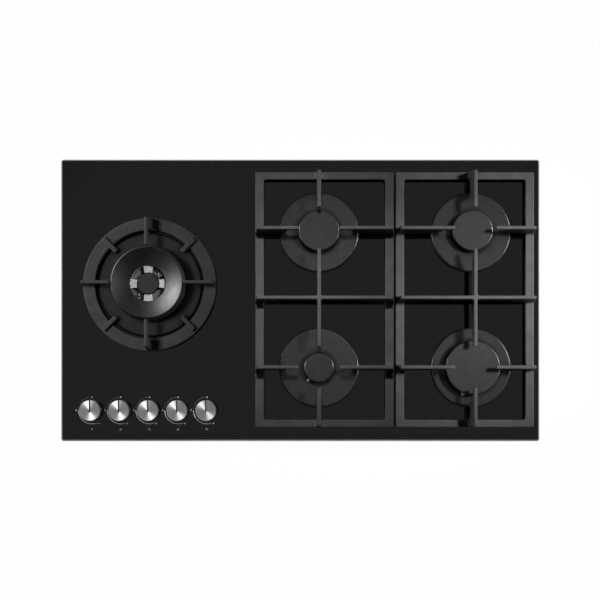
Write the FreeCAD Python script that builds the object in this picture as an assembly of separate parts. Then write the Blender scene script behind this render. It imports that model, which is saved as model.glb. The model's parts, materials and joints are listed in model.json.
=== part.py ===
import FreeCAD, Part

import math
import os

# Built-in gas cooktop, 900 x 530 mm: a glass top with four burners under two cast pan
# supports, a double-ring wok burner on the left and five push-and-turn knobs.
# Millimetres. Origin: centre of the worktop cut-out, on the worktop's top plane.
# +X runs to the right of the cook, +Y to the rear, +Z up.

V = FreeCAD.Vector
UP = V(0, 0, 1)

# ---- driving dimensions -------------------------------------------------------------

# glass top and its seat on the worktop
GLASS_WIDTH = 900.0
GLASS_DEPTH = 530.0
GLASS_THICKNESS = 8.0
GLASS_CORNER_R = 5.0
GLASS_BEVEL = 2.5
SEAL_THICKNESS = 1.5
SEAL_WIDTH = 10.0
SEAL_INSET = 5.0

# worktop cut-out, and the casing that hangs in it
CUTOUT_WIDTH = 860.0
CUTOUT_DEPTH = 490.0
CUTOUT_CLEARANCE = 6.0
WORKTOP_THICKNESS = 38.0
SHEET = 1.2
TRAY_DEPTH = 48.0
FRAME_FLANGE = 16.0
FRAME_LEG = 14.0
FRAME_CORNER_R = 4.0
CASING_SCREW_X = (-330.0, -110.0, 110.0, 330.0)
CASING_SCREW_Y = (-120.0, 120.0)
CASING_SCREW_RISE = 4.0
SHEET_FIT = 0.05
TRAY_TOP_GAP = 0.3
INLET_POCKET = 62.0
INLET_POCKET_FLOOR = -18.0

# burners: columns, rows, sizes
COLUMN_LEFT = 35.0
COLUMN_RIGHT = 320.0
ROW_REAR = 127.0
ROW_FRONT = -127.0
CAP_DIAMETER = {"rear_left": 75.0, "front_left": 55.0, "rear_right": 75.0, "front_right": 100.0}
CAP_THICKNESS = {"rear_left": 6.0, "front_left": 5.0, "rear_right": 6.0, "front_right": 6.5}
CROWN_TOP = {"rear_left": 17.0, "front_left": 17.0, "rear_right": 17.0, "front_right": 19.0}
PORT_COUNT = {"rear_left": 32, "front_left": 24, "rear_right": 32, "front_right": 44}
ELECTRODE_ANGLE = {"rear_left": 135.0, "front_left": 230.0, "rear_right": 135.0, "front_right": 252.0}
ELECTRODE_OUTSIDE = {"front_left": 2.5, "front_right": 1.5}
CAP_OVERHANG = 3.5
CAP_EDGE_R = 2.5
CAP_CHAMFER = 0.6
SPIGOT_FIT = 0.4
CROWN_WALL = 5.0
CROWN_PLATE = 2.5
CROWN_SKIRT = 6.0
CUP_RIM = 8.0
CUP_WALL = 3.5
CUP_NECK_R = 14.0
CUP_NECK_BORE_R = 10.0
CUP_SHOULDER = -10.0
CUP_FLOOR = 4.0
CUP_NECK_BOTTOM = -36.0
CUP_BOTTOM_WALL = 4.0
INLET_BOSS_OUT = 4.0
INLET_BOSS_WALL = 2.0
INLET_BORE_REACH = 5.0
LUG_WIDTH = 13.0
LUG_REACH = 10.0
VENTURI_R = 6.5
VENTURI_BORE_R = 5.0
VENTURI_BOTTOM = -16.0
DISC_DIAMETER = 150.0
DISC_HEIGHT = 6.5
DISC_SHEET = 1.2
DISC_EDGE_R = 4.5
GLASS_HOLE_MARGIN = 10.0
DISC_CLEARANCE = 0.3
PORT_WIDTH = 1.6
PORT_DEPTH = 4.0
SPIGOT_DEPTH = 2.0
SPIGOT_WALL = 2.5

# wok burner
WOK_X = -281.0
WOK_Y = 28.3
WOK_DISC_DIAMETER = 196.0
WOK_CUP_R = 52.0
WOK_NECK_R = 22.0
WOK_NECK_BORE_R = 18.0
WOK_CROWN_R = 64.0
WOK_CROWN_WALL = 6.0
WOK_CROWN_TOP = 24.0
WOK_WELL_R = 33.0
WOK_WELL_WALL = 4.0
WOK_WELL_TOP = 26.0
WOK_HUB_R = 17.5
WOK_HUB_TOP = 22.0
WOK_INNER_CAP_R = 20.4
WOK_INNER_CAP_THICKNESS = 5.0
WOK_RIM_R = 65.5
WOK_RIM_TOP = 42.0
WOK_SKIRT_R = 69.5
WOK_SKIRT_BOTTOM = 25.0
WOK_DISH_LIP = 2.5
WOK_DISH_SAG = (15.9, 5.4)
WOK_CAP_GROOVE = 9.0
WOK_BRIDGE_INNER_WIDTH = 13.0
WOK_BRIDGE_OUTER_WIDTH = 18.0
WOK_BRIDGE_TOP = 24.0
WOK_BRIDGE_DEPTH = 8.0
WOK_PORT_COUNT = 48
WOK_INNER_PORT_COUNT = 24
WOK_PROBE_R = 26.5
WOK_ELECTRODE_ANGLE = 42.0
WOK_THERMOCOUPLE_ANGLE = 229.0
WOK_CERAMIC_TOP = 14.0
WOK_TIP_TOP = 18.0
WOK_PROBE_ROD_R = 2.2
WOK_PROBE_TOP = 22.0
WOK_GLASS_HOLE_R = 76.0
WOK_JET_OFFSET = 9.0

# pan supports, all heights measured from the glass
SUPPORT_GAP = 3.6
SUPPORT_WIDTH = 258.2
SUPPORT_DEPTH = 475.5
SUPPORT_SPLIT_X = 176.2
SIDE_BAR = 16.0
END_BAR = 13.5
BAR_OUTER_R = 2.5
BAR_INNER_R = 4.5
BAR_EDGE_R = 1.4
FRAME_BOTTOM = 3.5
FRAME_TOP = 12.0
FIN_TOP = 50.0
FIN_TOP_WIDTH = 6.2
FIN_FOOT_WIDTH = 9.4
FIN_EDGE_R = 1.6
FIN_END_SLOPE = 5.5
FIN_TIP_GAP = 38.0
FIN_TIP_DEPTH = 8.0
FIN_TIP_LENGTH = 14.0
FIN_UNDER_RISE = 8.0
FIN_STEP_R = 7.0
FIN_STEP_RUN = 5.0
FIN_SETBACK = 0.8
FIN_INTO_BAR = 4.0
FIN_ROOT = 3.0
FIN_HEEL = 2.0
FIN_CHAMFER = 1.2
FIN_DRAFT = 0.6
ARCH_ROOT = 28.0
ARCH_R = 6.0
CROSSBAR_DEPTH = 16.0
CROSSING_WEB = 9.0
GUSSET_WIDTH = 17.0
GUSSET_HEIGHT = 10.0
GUSSET_SETBACK = 0.9
GUSSET_FLARE = (1.5, 1.8)
FOOT_R = 4.5
FOOT_STEM_R = 2.0
FOOT_STEM = 3.0
FOOT_STEM_GAP = 0.2
FOOT_FIT = 0.05
FOOT_INSET = 40.0

# wok support
WOK_RING_OUTER_R = 124.0
WOK_RING_INNER_R = 101.6
WOK_FIN_WIDTH = 5.5
WOK_FIN_TIP_R = 68.0
WOK_FIN_TIP_DEPTH = 10.0
WOK_FIN_STEP_R = 9.0
WOK_FIN_SETBACK = 0.4
WOK_FIN_TAPER = 0.75
WOK_GUSSET_SIDE = 3.5
WOK_GUSSET_HEIGHT = 7.0
WOK_GUSSET_SETBACK = 1.5
WOK_GUSSET_FLARE = (0.9, 1.4)
WOK_GUSSET_WAIST = 0.2
WOK_RING_EDGE_R = 1.8
WOK_RIB_WIDTH = 8.0
WOK_RIB_EDGE_R = 1.6
WOK_RIB_TOP = 20.0
WOK_RIB_INNER_R = 86.0
WOK_RIB_OUTER_R = 121.0
WOK_FOOT_ANGLES = (22.5, 112.5, 202.5, 292.5)

# knobs, spindles and gas valves
KNOB_COUNT = 5
KNOB_FIRST_X = -391.5
KNOB_PITCH = 54.0
KNOB_Y = -207.0
KNOB_DIAMETER = 38.4
KNOB_HEIGHT = 14.0
KNOB_FACE = 2.6
KNOB_WALL = 1.8
KNOB_EDGE = 0.9
KNOB_BOSS_R = 6.0
KNOB_BOSS_INSET = 2.0
POINTER_WIDTH = 2.8
POINTER_DEPTH = 0.5
POINTER_PAST_CENTRE = 4.0
PUSH_TRAVEL = 3.0
PUSH_SPARE = 0.6
SPINDLE_R = 3.0
SPINDLE_FLAT = 1.0
SPINDLE_BOTTOM = -24.0
SPINDLE_TOP_GAP = 0.3
KNOB_FIT = 0.05
RUNNING_FIT = 0.05
SEAL_HOLE_R = 8.0
SEAL_RIM_R = 11.0
SEAL_RIM = 1.6
SEAL_RIM_CHAMFER = 1.0
SEAL_NECK = 3.0
SPINDLE_SEAL_GAP = 0.1
VALVE_HALF_WIDTH = 12.0
VALVE_FRONT = 13.0
VALVE_REAR = 15.0
VALVE_TOP = -12.5
VALVE_BOTTOM = -40.0
BONNET_THICKNESS = 2.5
PLUG_TOP_R = 7.5
PLUG_BOTTOM_R = 5.5
PLUG_TOP = -15.0
PLUG_FIT = 0.1
PLUG_BOTTOM = -36.0
PLUG_PORT_Z = -32.0
PLUG_PORT_R = 1.5
VALVE_PORT_R = 1.8
VALVE_PORT_START = 4.0
BONNET_INSET_FRONT = 1.0
BONNET_INSET_REAR = 3.0
SWITCH_HEIGHT = 7.0
SWITCH_WIDTH = 20.0
SWITCH_HOLE_GAP = 0.6
MAGNET_R = 6.0
MAGNET_ROOM = 12.0
MAGNET_NUT_R = 8.0
MAGNET_NUT_LENGTH = 3.0
MAGNET_Z = -28.0

# gas line
GAS_Z = -30.0
MANIFOLD_R = 7.0
MANIFOLD_WALL = 1.5
MANIFOLD_BEHIND_KNOBS = 24.0
MANIFOLD_SIDE_X = -410.0
MANIFOLD_BEND_R = 16.0
PIPE_R = 3.0
PIPE_BEND_R = 9.0
PIPE_EXIT_Z = -18.0
PIPE_EXIT_SIDE = 6.0
PIPE_INTO_VALVE = 4.0
PIPE_HOLE_DEPTH = 10.0
PIPE_DROP_START = 22.0
PIPE_DROP_RUN = 30.0
PIPE_LANE_LEAD = 34.0
PIPE_LANES = (
    (1, "rear_left", -40.0, -60.0),
    (2, "rear_right", -64.0, 262.0),
    (3, "front_left", ROW_FRONT, None),
    (4, "front_right", -168.0, 262.0),
)
PIPE_NUT_R = 4.4
PIPE_NUT_LENGTH = 7.0
VALVE_SPIGOT_R = 3.5
INLET_THREAD_R = 10.48
INLET_THREAD_LENGTH = 10.0
INLET_BORE_R = 6.5
INLET_ARM = 14.0
INLET_ARM_WALL = 0.5
INLET_KNUCKLE_WALL = 2.0
MANIFOLD_INTO_POCKET = 12.0
MANIFOLD_PAST_VALVES = 18.0
MANIFOLD_END_WALL = 3.0
JET_R = 3.6
JET_HEIGHT = 8.0
JET_TIP_R = 1.6
JET_TAPER = 2.5

# rails, screws, clamps
RAIL_WIDTH = 60.0
RAIL_LIP = 5.0
RAIL_FOOT = 14.0
RAIL_END_GAP = 9.0
WOK_RAIL_BEHIND_MANIFOLD = 18.0
WINDOW_GAP = 2.0
SCREW_R = 2.0
SCREW_HOLE_FIT = 0.1
SCREW_HEAD_R = 3.6
SCREW_HEAD = 2.2
SCREW_LENGTH = 6.0
CLAMP_WIDTH = 24.0
CLAMP_REACH = 26.0
CLAMP_SHEET = 1.5
CLAMP_SCREW_R = 2.5
CLAMP_X = 300.0
CLAMP_WALL_SCREW_Z = -26.0
CLAMP_TOP = -16.0
CLAMP_OFF_BOTTOM = 1.0
CLAMP_SCREW_FROM_END = 8.0
CLAMP_COLLAR = 1.5
CLAMP_COLLAR_WALL = 2.0

# wiring
LEAD_R = 1.5
LEAD_BEND_R = 4.0
LEAD_OUT = 12.0
LEAD_EXITS = (
    ("rear_left", -1, 60.0),
    ("front_left", -1, 30.0),
    ("rear_right", 1, 60.0),
    ("front_right", 1, 30.0),
)
LEAD_OFF_FLOOR = 0.7
THERMO_LEAD_R = 1.0
THERMO_LEAD_OVER_LEADS = 4.6
THERMO_LEAD_OUT = 8.0
THERMO_LEAD_BEND_R = 3.0
THERMO_LANES = (
    (1, "rear_left", -32.0, 96.0),
    (2, "rear_right", -74.0, 400.0),
    (3, "front_left", -104.0, 96.0),
    (4, "front_right", -180.0, 400.0),
)
WOK_LEAD_DROP = 30.0
CERAMIC_R = 2.8
CERAMIC_TOP = 9.0
CERAMIC_STEP = 0.8
CERAMIC_TAPER = 1.2
TIP_R = 0.9
TIP_TOP = 14.0
PROBE_R = 1.5
PROBE_TOP = 13.0
PROBE_BUSH = 0.9
WOK_PROBE_BUSH = 0.6
PROBE_FOOT = -13.0
HOLE_GAP = 0.5
MODULE_X = 120.0
MODULE_Y = 14.0
MODULE_WIDTH = 84.0
MODULE_DEPTH = 56.0
MODULE_HEIGHT = 26.0
MODULE_CORNER_R = 3.0
TERMINAL_X = 378.0
TERMINAL_WIDTH = 46.0
TERMINAL_DEPTH = 30.0
TERMINAL_HEIGHT = 36.0
GLAND_R = 7.9
GLAND_Z = -30.0
GLAND_BORE_R = 5.0
GLAND_BORE = 12.0
GLAND_OUT = 1.5
GLAND_NOTCH = 0.3
VENT_COUNT = 14
VENT_X = 176.0
VENT_Y = -90.0
VENT_PITCH = 22.0
VENT_LENGTH = 40.0
VENT_WIDTH = 4.0

# ---- derived places -----------------------------------------------------------------

GLASS_TOP = SEAL_THICKNESS + GLASS_THICKNESS
TRAY_HALF_X = CUTOUT_WIDTH / 2 - CUTOUT_CLEARANCE
TRAY_HALF_Y = CUTOUT_DEPTH / 2 - CUTOUT_CLEARANCE
TRAY_FLOOR = -TRAY_DEPTH + SHEET
CASING_WALL_Y = TRAY_HALF_Y - SHEET - SHEET_FIT
CLAMP_SCREW_Y = CASING_WALL_Y + CLAMP_REACH - CLAMP_SCREW_FROM_END
BURNERS = {
    "rear_left": (COLUMN_LEFT, ROW_REAR),
    "front_left": (COLUMN_LEFT, ROW_FRONT),
    "rear_right": (COLUMN_RIGHT, ROW_REAR),
    "front_right": (COLUMN_RIGHT, ROW_FRONT),
}
LEAD_Z = TRAY_FLOOR + LEAD_R + LEAD_OFF_FLOOR
THERMO_LEAD_Z = LEAD_Z + THERMO_LEAD_OVER_LEADS
MAGNET_LENGTH = KNOB_PITCH - 2 * VALVE_HALF_WIDTH - MAGNET_ROOM
KNOB_BOTTOM = PUSH_TRAVEL + PUSH_SPARE
MANIFOLD_Y = KNOB_Y + MANIFOLD_BEHIND_KNOBS
RAIL_REAR = TRAY_HALF_Y - SHEET - RAIL_END_GAP
RAILS = {
    COLUMN_LEFT: (-RAIL_REAR, RAIL_REAR),
    COLUMN_RIGHT: (-RAIL_REAR, RAIL_REAR),
    WOK_X: (MANIFOLD_Y + WOK_RAIL_BEHIND_MANIFOLD, RAIL_REAR),
}


def above(height):
    """Z of a height measured from the glass surface."""
    return GLASS_TOP + height


def knob_x(index):
    return KNOB_FIRST_X + KNOB_PITCH * index


def cap_r(name):
    return CAP_DIAMETER[name] / 2


def crown_r(name):
    return cap_r(name) - CAP_OVERHANG


def cup_r(name):
    return crown_r(name) - CROWN_SKIRT


def around(x, y, radius, degrees):
    angle = math.radians(degrees)
    return (x + radius * math.cos(angle), y + radius * math.sin(angle))


def electrode_place(name):
    """Front electrodes stand just outside the cap, rear ones under its rim."""
    x, y = BURNERS[name]
    radius = cap_r(name) + ELECTRODE_OUTSIDE.get(name, -CERAMIC_R)
    return around(x, y, radius, ELECTRODE_ANGLE[name])


def thermocouple_place(name):
    """The probe stands under the cap's rim, on the right."""
    x, y = BURNERS[name]
    return (x + cap_r(name) - PROBE_R, y)


# ---- shape helpers ------------------------------------------------------------------

def box(x0, y0, z0, x1, y1, z1):
    return Part.makeBox(x1 - x0, y1 - y0, z1 - z0, V(x0, y0, z0))


def post(x, y, z0, z1, radius):
    return Part.makeCylinder(radius, z1 - z0, V(x, y, z0))


def rod(start, direction, length, radius):
    return Part.makeCylinder(radius, length, start, direction)


def fused(shapes):
    first = shapes[0]
    return first.fuse(shapes[1:]).removeSplitter() if len(shapes) > 1 else first


def without(shape, tools):
    return shape.cut(tools) if tools else shape


def group(shapes):
    return Part.makeCompound(shapes)


def outline(points):
    """Closed wire; a point given as ("arc", middle, end) is reached by an arc."""
    edges = []
    last = points[0]
    for item in points[1:] + [points[0]]:
        if item[0] == "arc":
            edges.append(Part.Arc(last, item[1], item[2]).toShape())
            last = item[2]
        else:
            edges.append(Part.LineSegment(last, item).toShape())
            last = item
    return Part.Wire(edges)


def turned(profile, x=0.0, y=0.0):
    """Solid of revolution about the vertical through (x, y) from (radius, z) points."""
    def place(item):
        if item[0] == "arc":
            return ("arc", V(item[1][0], 0, item[1][1]), V(item[2][0], 0, item[2][1]))
        return V(item[0], 0, item[1])
    face = Part.Face(outline([place(item) for item in profile]))
    solid = face.revolve(V(0, 0, 0), UP, 360)
    solid.translate(V(x, y, 0))
    return solid


def plate(width, depth, z0, z1, corner_r):
    """Upright prism with rounded corners, centred on the origin."""
    solid = box(-width / 2, -depth / 2, z0, width / 2, depth / 2, z1)
    upright = [edge for edge in solid.Edges if abs(edge.Vertexes[0].Z - edge.Vertexes[1].Z) > (z1 - z0) / 2]
    return solid.makeFillet(corner_r, upright)


def along(points, radius, bend_r):
    """Round bar along straight runs joined by arcs of one bend radius."""
    edges = []
    start = points[0]
    for before, corner, after in zip(points, points[1:], points[2:]):
        into = (corner - before).normalize()
        out = (after - corner).normalize()
        turn = into.getAngle(out)
        trim = bend_r * math.tan(turn / 2)
        first = corner - into * trim
        last = corner + out * trim
        inward = (out - into).normalize()
        middle = corner + inward * bend_r * (1 / math.cos(turn / 2) - 1)
        edges.append(Part.LineSegment(start, first).toShape())
        edges.append(Part.Arc(first, middle, last).toShape())
        start = last
    edges.append(Part.LineSegment(start, points[-1]).toShape())
    spine = Part.Wire(edges)
    heading = points[1] - points[0]
    section = Part.Wire([Part.makeCircle(radius, points[0], heading)])
    return spine.makePipeShell([section], True, False)


def radial_slots(x, y, count, r_in, r_out, z0, z1, width, offset=0.0):
    """Slots between two radii, spread evenly round (x, y)."""
    slots = []
    for index in range(count):
        slot = box(r_in, -width / 2, z0, r_out, width / 2, z1)
        slot.rotate(V(0, 0, 0), UP, offset + 360.0 * index / count)
        slot.translate(V(x, y, 0))
        slots.append(slot)
    return slots


def screw(tip, direction, length=SCREW_LENGTH):
    """Pan-head screw: head seated where the direction starts, shank running along it."""
    head = rod(tip - direction * SCREW_HEAD, direction, SCREW_HEAD, SCREW_HEAD_R)
    return fused([head, rod(tip, direction, length, SCREW_R)])


def screw_hole(tip, direction, length=SCREW_LENGTH):
    start = tip - direction
    return rod(start, direction, length + 1.5, SCREW_R + SCREW_HOLE_FIT)


# ---- glass, seal, casing ------------------------------------------------------------

def make_glass():
    glass = plate(GLASS_WIDTH, GLASS_DEPTH, SEAL_THICKNESS, GLASS_TOP, GLASS_CORNER_R)
    rim = [edge for edge in glass.Edges if min(v.Z for v in edge.Vertexes) > GLASS_TOP - 0.01]
    glass = glass.makeChamfer(GLASS_BEVEL, rim)
    low = SEAL_THICKNESS - 1
    high = GLASS_TOP + 1
    holes = [post(x, y, low, high, cap_r(name) + GLASS_HOLE_MARGIN) for name, (x, y) in BURNERS.items()]
    holes.append(post(WOK_X, WOK_Y, low, high, WOK_GLASS_HOLE_R))
    holes += [post(knob_x(i), KNOB_Y, low, high, SEAL_HOLE_R) for i in range(KNOB_COUNT)]
    return without(glass, holes)


def make_worktop_seal():
    width = GLASS_WIDTH - 2 * SEAL_INSET
    depth = GLASS_DEPTH - 2 * SEAL_INSET
    outer = plate(width, depth, 0, SEAL_THICKNESS, GLASS_CORNER_R)
    inner = plate(width - 2 * SEAL_WIDTH, depth - 2 * SEAL_WIDTH, -1, SEAL_THICKNESS + 1, GLASS_CORNER_R)
    return outer.cut(inner)


def casing_screw_places():
    """Side screws that hold the tray inside the frame's leg."""
    height = SEAL_THICKNESS - FRAME_LEG + CASING_SCREW_RISE
    places = []
    for x in CASING_SCREW_X:
        places.append((V(x, -TRAY_HALF_Y, height), V(0, 1, 0)))
        places.append((V(x, TRAY_HALF_Y, height), V(0, -1, 0)))
    for y in CASING_SCREW_Y:
        places.append((V(-TRAY_HALF_X, y, height), V(1, 0, 0)))
        places.append((V(TRAY_HALF_X, y, height), V(-1, 0, 0)))
    return places


def make_glass_frame():
    """Angle-section frame bonded under the glass: a flange above and a leg inside the cut-out."""
    width = 2 * TRAY_HALF_X
    depth = 2 * TRAY_HALF_Y
    bottom = SEAL_THICKNESS - FRAME_LEG
    inner_r = FRAME_CORNER_R - SHEET
    outer = plate(width, depth, bottom, SEAL_THICKNESS, FRAME_CORNER_R)
    below = plate(width - 2 * SHEET, depth - 2 * SHEET, bottom - 1, SEAL_THICKNESS - SHEET, inner_r)
    window = plate(width - 2 * FRAME_FLANGE, depth - 2 * FRAME_FLANGE, bottom - 1, SEAL_THICKNESS + 1,
                   inner_r)
    holes = [screw_hole(place, way) for place, way in casing_screw_places()]
    return without(outer, [below, window] + holes)


def rail_foot_places():
    places = []
    for x, (front, rear) in RAILS.items():
        for y in (front + RAIL_FOOT / 2, rear - RAIL_FOOT / 2):
            for dx in (-RAIL_WIDTH / 3, RAIL_WIDTH / 3):
                places.append((V(x + dx, y, TRAY_FLOOR + SHEET), V(0, 0, -1)))
    return places


def make_tray():
    """Pressed open box with vents, a pocket for the gas inlet, a notch for the gland and screw holes."""
    inset = 2 * (SHEET + SHEET_FIT)
    width = 2 * TRAY_HALF_X - inset
    depth = 2 * TRAY_HALF_Y - inset
    top = SEAL_THICKNESS - SHEET - TRAY_TOP_GAP
    outer_r = FRAME_CORNER_R - SHEET
    outer = plate(width, depth, -TRAY_DEPTH, top, outer_r)
    inner = plate(width - 2 * SHEET, depth - 2 * SHEET, TRAY_FLOOR, top + 1, outer_r - SHEET)
    shell = outer.cut(inner)
    left = -width / 2
    rear = depth / 2
    step = INLET_POCKET
    pocket = box(left, rear - step, -TRAY_DEPTH, left + step, rear, INLET_POCKET_FLOOR)
    room = box(left - 1, rear - step + SHEET, -TRAY_DEPTH - 1, left + step - SHEET, rear + 1,
               INLET_POCKET_FLOOR - SHEET)
    shell = shell.fuse(pocket).cut(room).removeSplitter()
    side_screws = casing_screw_places() + clamp_wall_screw_places()
    cuts = [screw_hole(place, way) for place, way in side_screws + rail_foot_places()]
    pocket_hole = V(MANIFOLD_SIDE_X, rear - step - 1, GAS_Z)
    cuts.append(rod(pocket_hole, V(0, 1, 0), SHEET + 2, MANIFOLD_R + HOLE_GAP))
    notch = GLAND_R + GLAND_NOTCH
    cuts.append(box(TERMINAL_X - notch, rear - SHEET - 1, GLAND_Z - notch,
                    TERMINAL_X + notch, rear + 1, top + 1))
    for index in range(VENT_COUNT):
        x = VENT_X + (index - (VENT_COUNT - 1) / 2) * VENT_PITCH
        cuts.append(box(x - VENT_WIDTH / 2, VENT_Y - VENT_LENGTH / 2, -TRAY_DEPTH - 1,
                        x + VENT_WIDTH / 2, VENT_Y + VENT_LENGTH / 2, TRAY_FLOOR + 1))
    return without(shell, cuts)


def make_screws():
    side_screws = casing_screw_places() + clamp_wall_screw_places()
    screws = [screw(place, way) for place, way in side_screws]
    screws += [screw(place, way, 2 * SHEET) for place, way in rail_foot_places()]
    screws += [screw(place, way, SHEET + CUP_FLOOR) for place, way in cup_screw_places()]
    return group(screws)


# ---- worktop clamps -----------------------------------------------------------------

def clamp_places():
    return [(x, side) for x in (-CLAMP_X, CLAMP_X) for side in (-1, 1)]


def clamp_wall_screw_places():
    """A screw through each clamp's leg into the casing wall."""
    face = CASING_WALL_Y + CLAMP_SHEET
    return [(V(x, side * face, CLAMP_WALL_SCREW_Z), V(0, -side, 0)) for x, side in clamp_places()]


def make_clamps():
    """Brackets outside the casing's front and rear walls, reaching under the worktop."""
    clamps = []
    wall = CASING_WALL_Y
    bottom = -TRAY_DEPTH + CLAMP_OFF_BOTTOM
    for x, side in clamp_places():
        low = wall if side > 0 else -wall - CLAMP_SHEET
        leg = box(x - CLAMP_WIDTH / 2, low, bottom, x + CLAMP_WIDTH / 2, low + CLAMP_SHEET, CLAMP_TOP)
        near = wall if side > 0 else -wall - CLAMP_REACH
        arm = box(x - CLAMP_WIDTH / 2, near, bottom, x + CLAMP_WIDTH / 2, near + CLAMP_REACH,
                  bottom + CLAMP_SHEET)
        hole = post(x, side * CLAMP_SCREW_Y, bottom - 1, bottom + CLAMP_SHEET + 1,
                    CLAMP_SCREW_R + SCREW_HOLE_FIT)
        clamps.append(leg.fuse(arm).cut(hole).removeSplitter())
    cuts = [screw_hole(place, way) for place, way in clamp_wall_screw_places()]
    return group([without(clamp, cuts) for clamp in clamps])


def make_clamp_screws():
    """Screws turned up through the clamps against the worktop's underside."""
    screws = []
    seat = -TRAY_DEPTH + CLAMP_OFF_BOTTOM + CLAMP_SHEET
    for x, side in clamp_places():
        y = side * CLAMP_SCREW_Y
        shank = post(x, y, seat, -WORKTOP_THICKNESS, CLAMP_SCREW_R)
        collar = post(x, y, seat, seat + CLAMP_COLLAR, CLAMP_SCREW_R + CLAMP_COLLAR_WALL)
        screws.append(shank.fuse(collar).removeSplitter())
    return group(screws)


# ---- burner rails -------------------------------------------------------------------

def make_rails():
    """Bridge-shaped steel strips that carry the cups, their folded feet screwed to the tray floor."""
    rails = []
    top = CUP_SHOULDER
    for x, (front, rear) in RAILS.items():
        low_x = x - RAIL_WIDTH / 2
        high_x = x + RAIL_WIDTH / 2
        start = front + RAIL_FOOT
        end = rear - RAIL_FOOT
        parts = [box(low_x, start, top - SHEET, high_x, end, top)]
        parts.append(box(low_x, start, top - RAIL_LIP, low_x + SHEET, end, top))
        parts.append(box(high_x - SHEET, start, top - RAIL_LIP, high_x, end, top))
        parts.append(box(low_x, start, TRAY_FLOOR, high_x, start + SHEET, top))
        parts.append(box(low_x, end - SHEET, TRAY_FLOOR, high_x, end, top))
        parts.append(box(low_x, front, TRAY_FLOOR, high_x, start, TRAY_FLOOR + SHEET))
        parts.append(box(low_x, end, TRAY_FLOOR, high_x, rear, TRAY_FLOOR + SHEET))
        rails.append(fused(parts))
    below = top - RAIL_LIP - 1
    cuts = [post(x, y, below, top + 1, CUP_NECK_R + HOLE_GAP) for x, y in BURNERS.values()]
    cuts.append(post(WOK_X, WOK_Y, below, top + 1, WOK_NECK_R + HOLE_GAP))
    cuts += [post(x, y, below, top + 1, CERAMIC_R + HOLE_GAP) for x, y in probe_places()]
    cuts += wok_rail_windows()
    cuts += [screw_hole(place, way, 2 * SHEET) for place, way in rail_foot_places()]
    cuts += [screw_hole(place, way, SHEET + CUP_FLOOR) for place, way in cup_screw_places()]
    return group([without(rail, cuts) for rail in rails])


def wok_rail_windows():
    """Openings in the wok rail's front leg where pipes and leads from the valves pass it."""
    leg = RAILS[WOK_X][0] + RAIL_FOOT
    windows = []
    for index in range(KNOB_COUNT):
        pipe_place = V(knob_x(index), leg - 1, PIPE_EXIT_Z)
        lead_place = V(thermo_lead_x(index), leg - 1, THERMO_LEAD_Z)
        windows.append(rod(pipe_place, V(0, 1, 0), SHEET + 2, PIPE_R + WINDOW_GAP))
        windows.append(rod(lead_place, V(0, 1, 0), SHEET + 2, THERMO_LEAD_R + WINDOW_GAP))
    return windows


def thermo_lead_x(index):
    return knob_x(index) + VALVE_HALF_WIDTH + MAGNET_LENGTH + THERMO_LEAD_OUT


def knob_places():
    return [(knob_x(index), KNOB_Y) for index in range(KNOB_COUNT)]


def probe_places():
    places = [electrode_place(name) for name in BURNERS]
    places += [thermocouple_place(name) for name in BURNERS]
    places.append(around(WOK_X, WOK_Y, WOK_PROBE_R, WOK_ELECTRODE_ANGLE))
    places.append(around(WOK_X, WOK_Y, WOK_PROBE_R, WOK_THERMOCOUPLE_ANGLE))
    return places


# ---- burners ------------------------------------------------------------------------

def cup_screw_places():
    """One screw through each of a cup's two lugs, down into its rail."""
    places = []
    top = CUP_SHOULDER + CUP_FLOOR
    for name, (x, y) in BURNERS.items():
        for side in (-1, 1):
            places.append((V(x, y + side * (cup_r(name) + LUG_REACH / 2), top), V(0, 0, -1)))
    for side in (-1, 1):
        places.append((V(WOK_X, WOK_Y + side * (WOK_CUP_R + LUG_REACH / 2), top), V(0, 0, -1)))
    return places


def cup(x, y, radius, neck_r, bore_r, inlets):
    """Cast cup on its rail: open bowl, neck with a blind bore for the jet, two screw lugs."""
    floor = CUP_SHOULDER + CUP_FLOOR
    bottom = CUP_NECK_BOTTOM
    body = turned([
        (bore_r, floor), (bore_r, bottom + CUP_BOTTOM_WALL), (0, bottom + CUP_BOTTOM_WALL), (0, bottom),
        (neck_r, bottom), (neck_r, CUP_SHOULDER), (radius, CUP_SHOULDER), (radius, above(CUP_RIM)),
        (radius - CUP_WALL, above(CUP_RIM)), (radius - CUP_WALL, floor)], x, y)
    parts = [body]
    for side in (-1, 1):
        reach = sorted((y + side * (radius - 1), y + side * (radius + LUG_REACH)))
        parts.append(box(x - LUG_WIDTH / 2, reach[0], CUP_SHOULDER, x + LUG_WIDTH / 2, reach[1], floor))
    for inlet_y in inlets:
        boss_start = V(x - neck_r - INLET_BOSS_OUT, inlet_y, GAS_Z)
        boss_length = neck_r - bore_r + INLET_BOSS_OUT + 1
        parts.append(rod(boss_start, V(1, 0, 0), boss_length, PIPE_R + INLET_BOSS_WALL))
    solid = fused(parts)
    bore_start = x - neck_r - INLET_BOSS_OUT - 1
    bore_length = x - bore_r + INLET_BORE_REACH - bore_start
    cuts = [rod(V(bore_start, inlet_y, GAS_Z), V(1, 0, 0), bore_length, PIPE_R + RUNNING_FIT)
            for inlet_y in inlets]
    return without(solid, cuts)


def make_cup(name):
    x, y = BURNERS[name]
    solid = cup(x, y, cup_r(name), CUP_NECK_R, CUP_NECK_BORE_R, [y])
    cuts = [screw_hole(place, way, SHEET + CUP_FLOOR) for place, way in cup_screw_places()]
    return without(solid, cuts)


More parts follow.
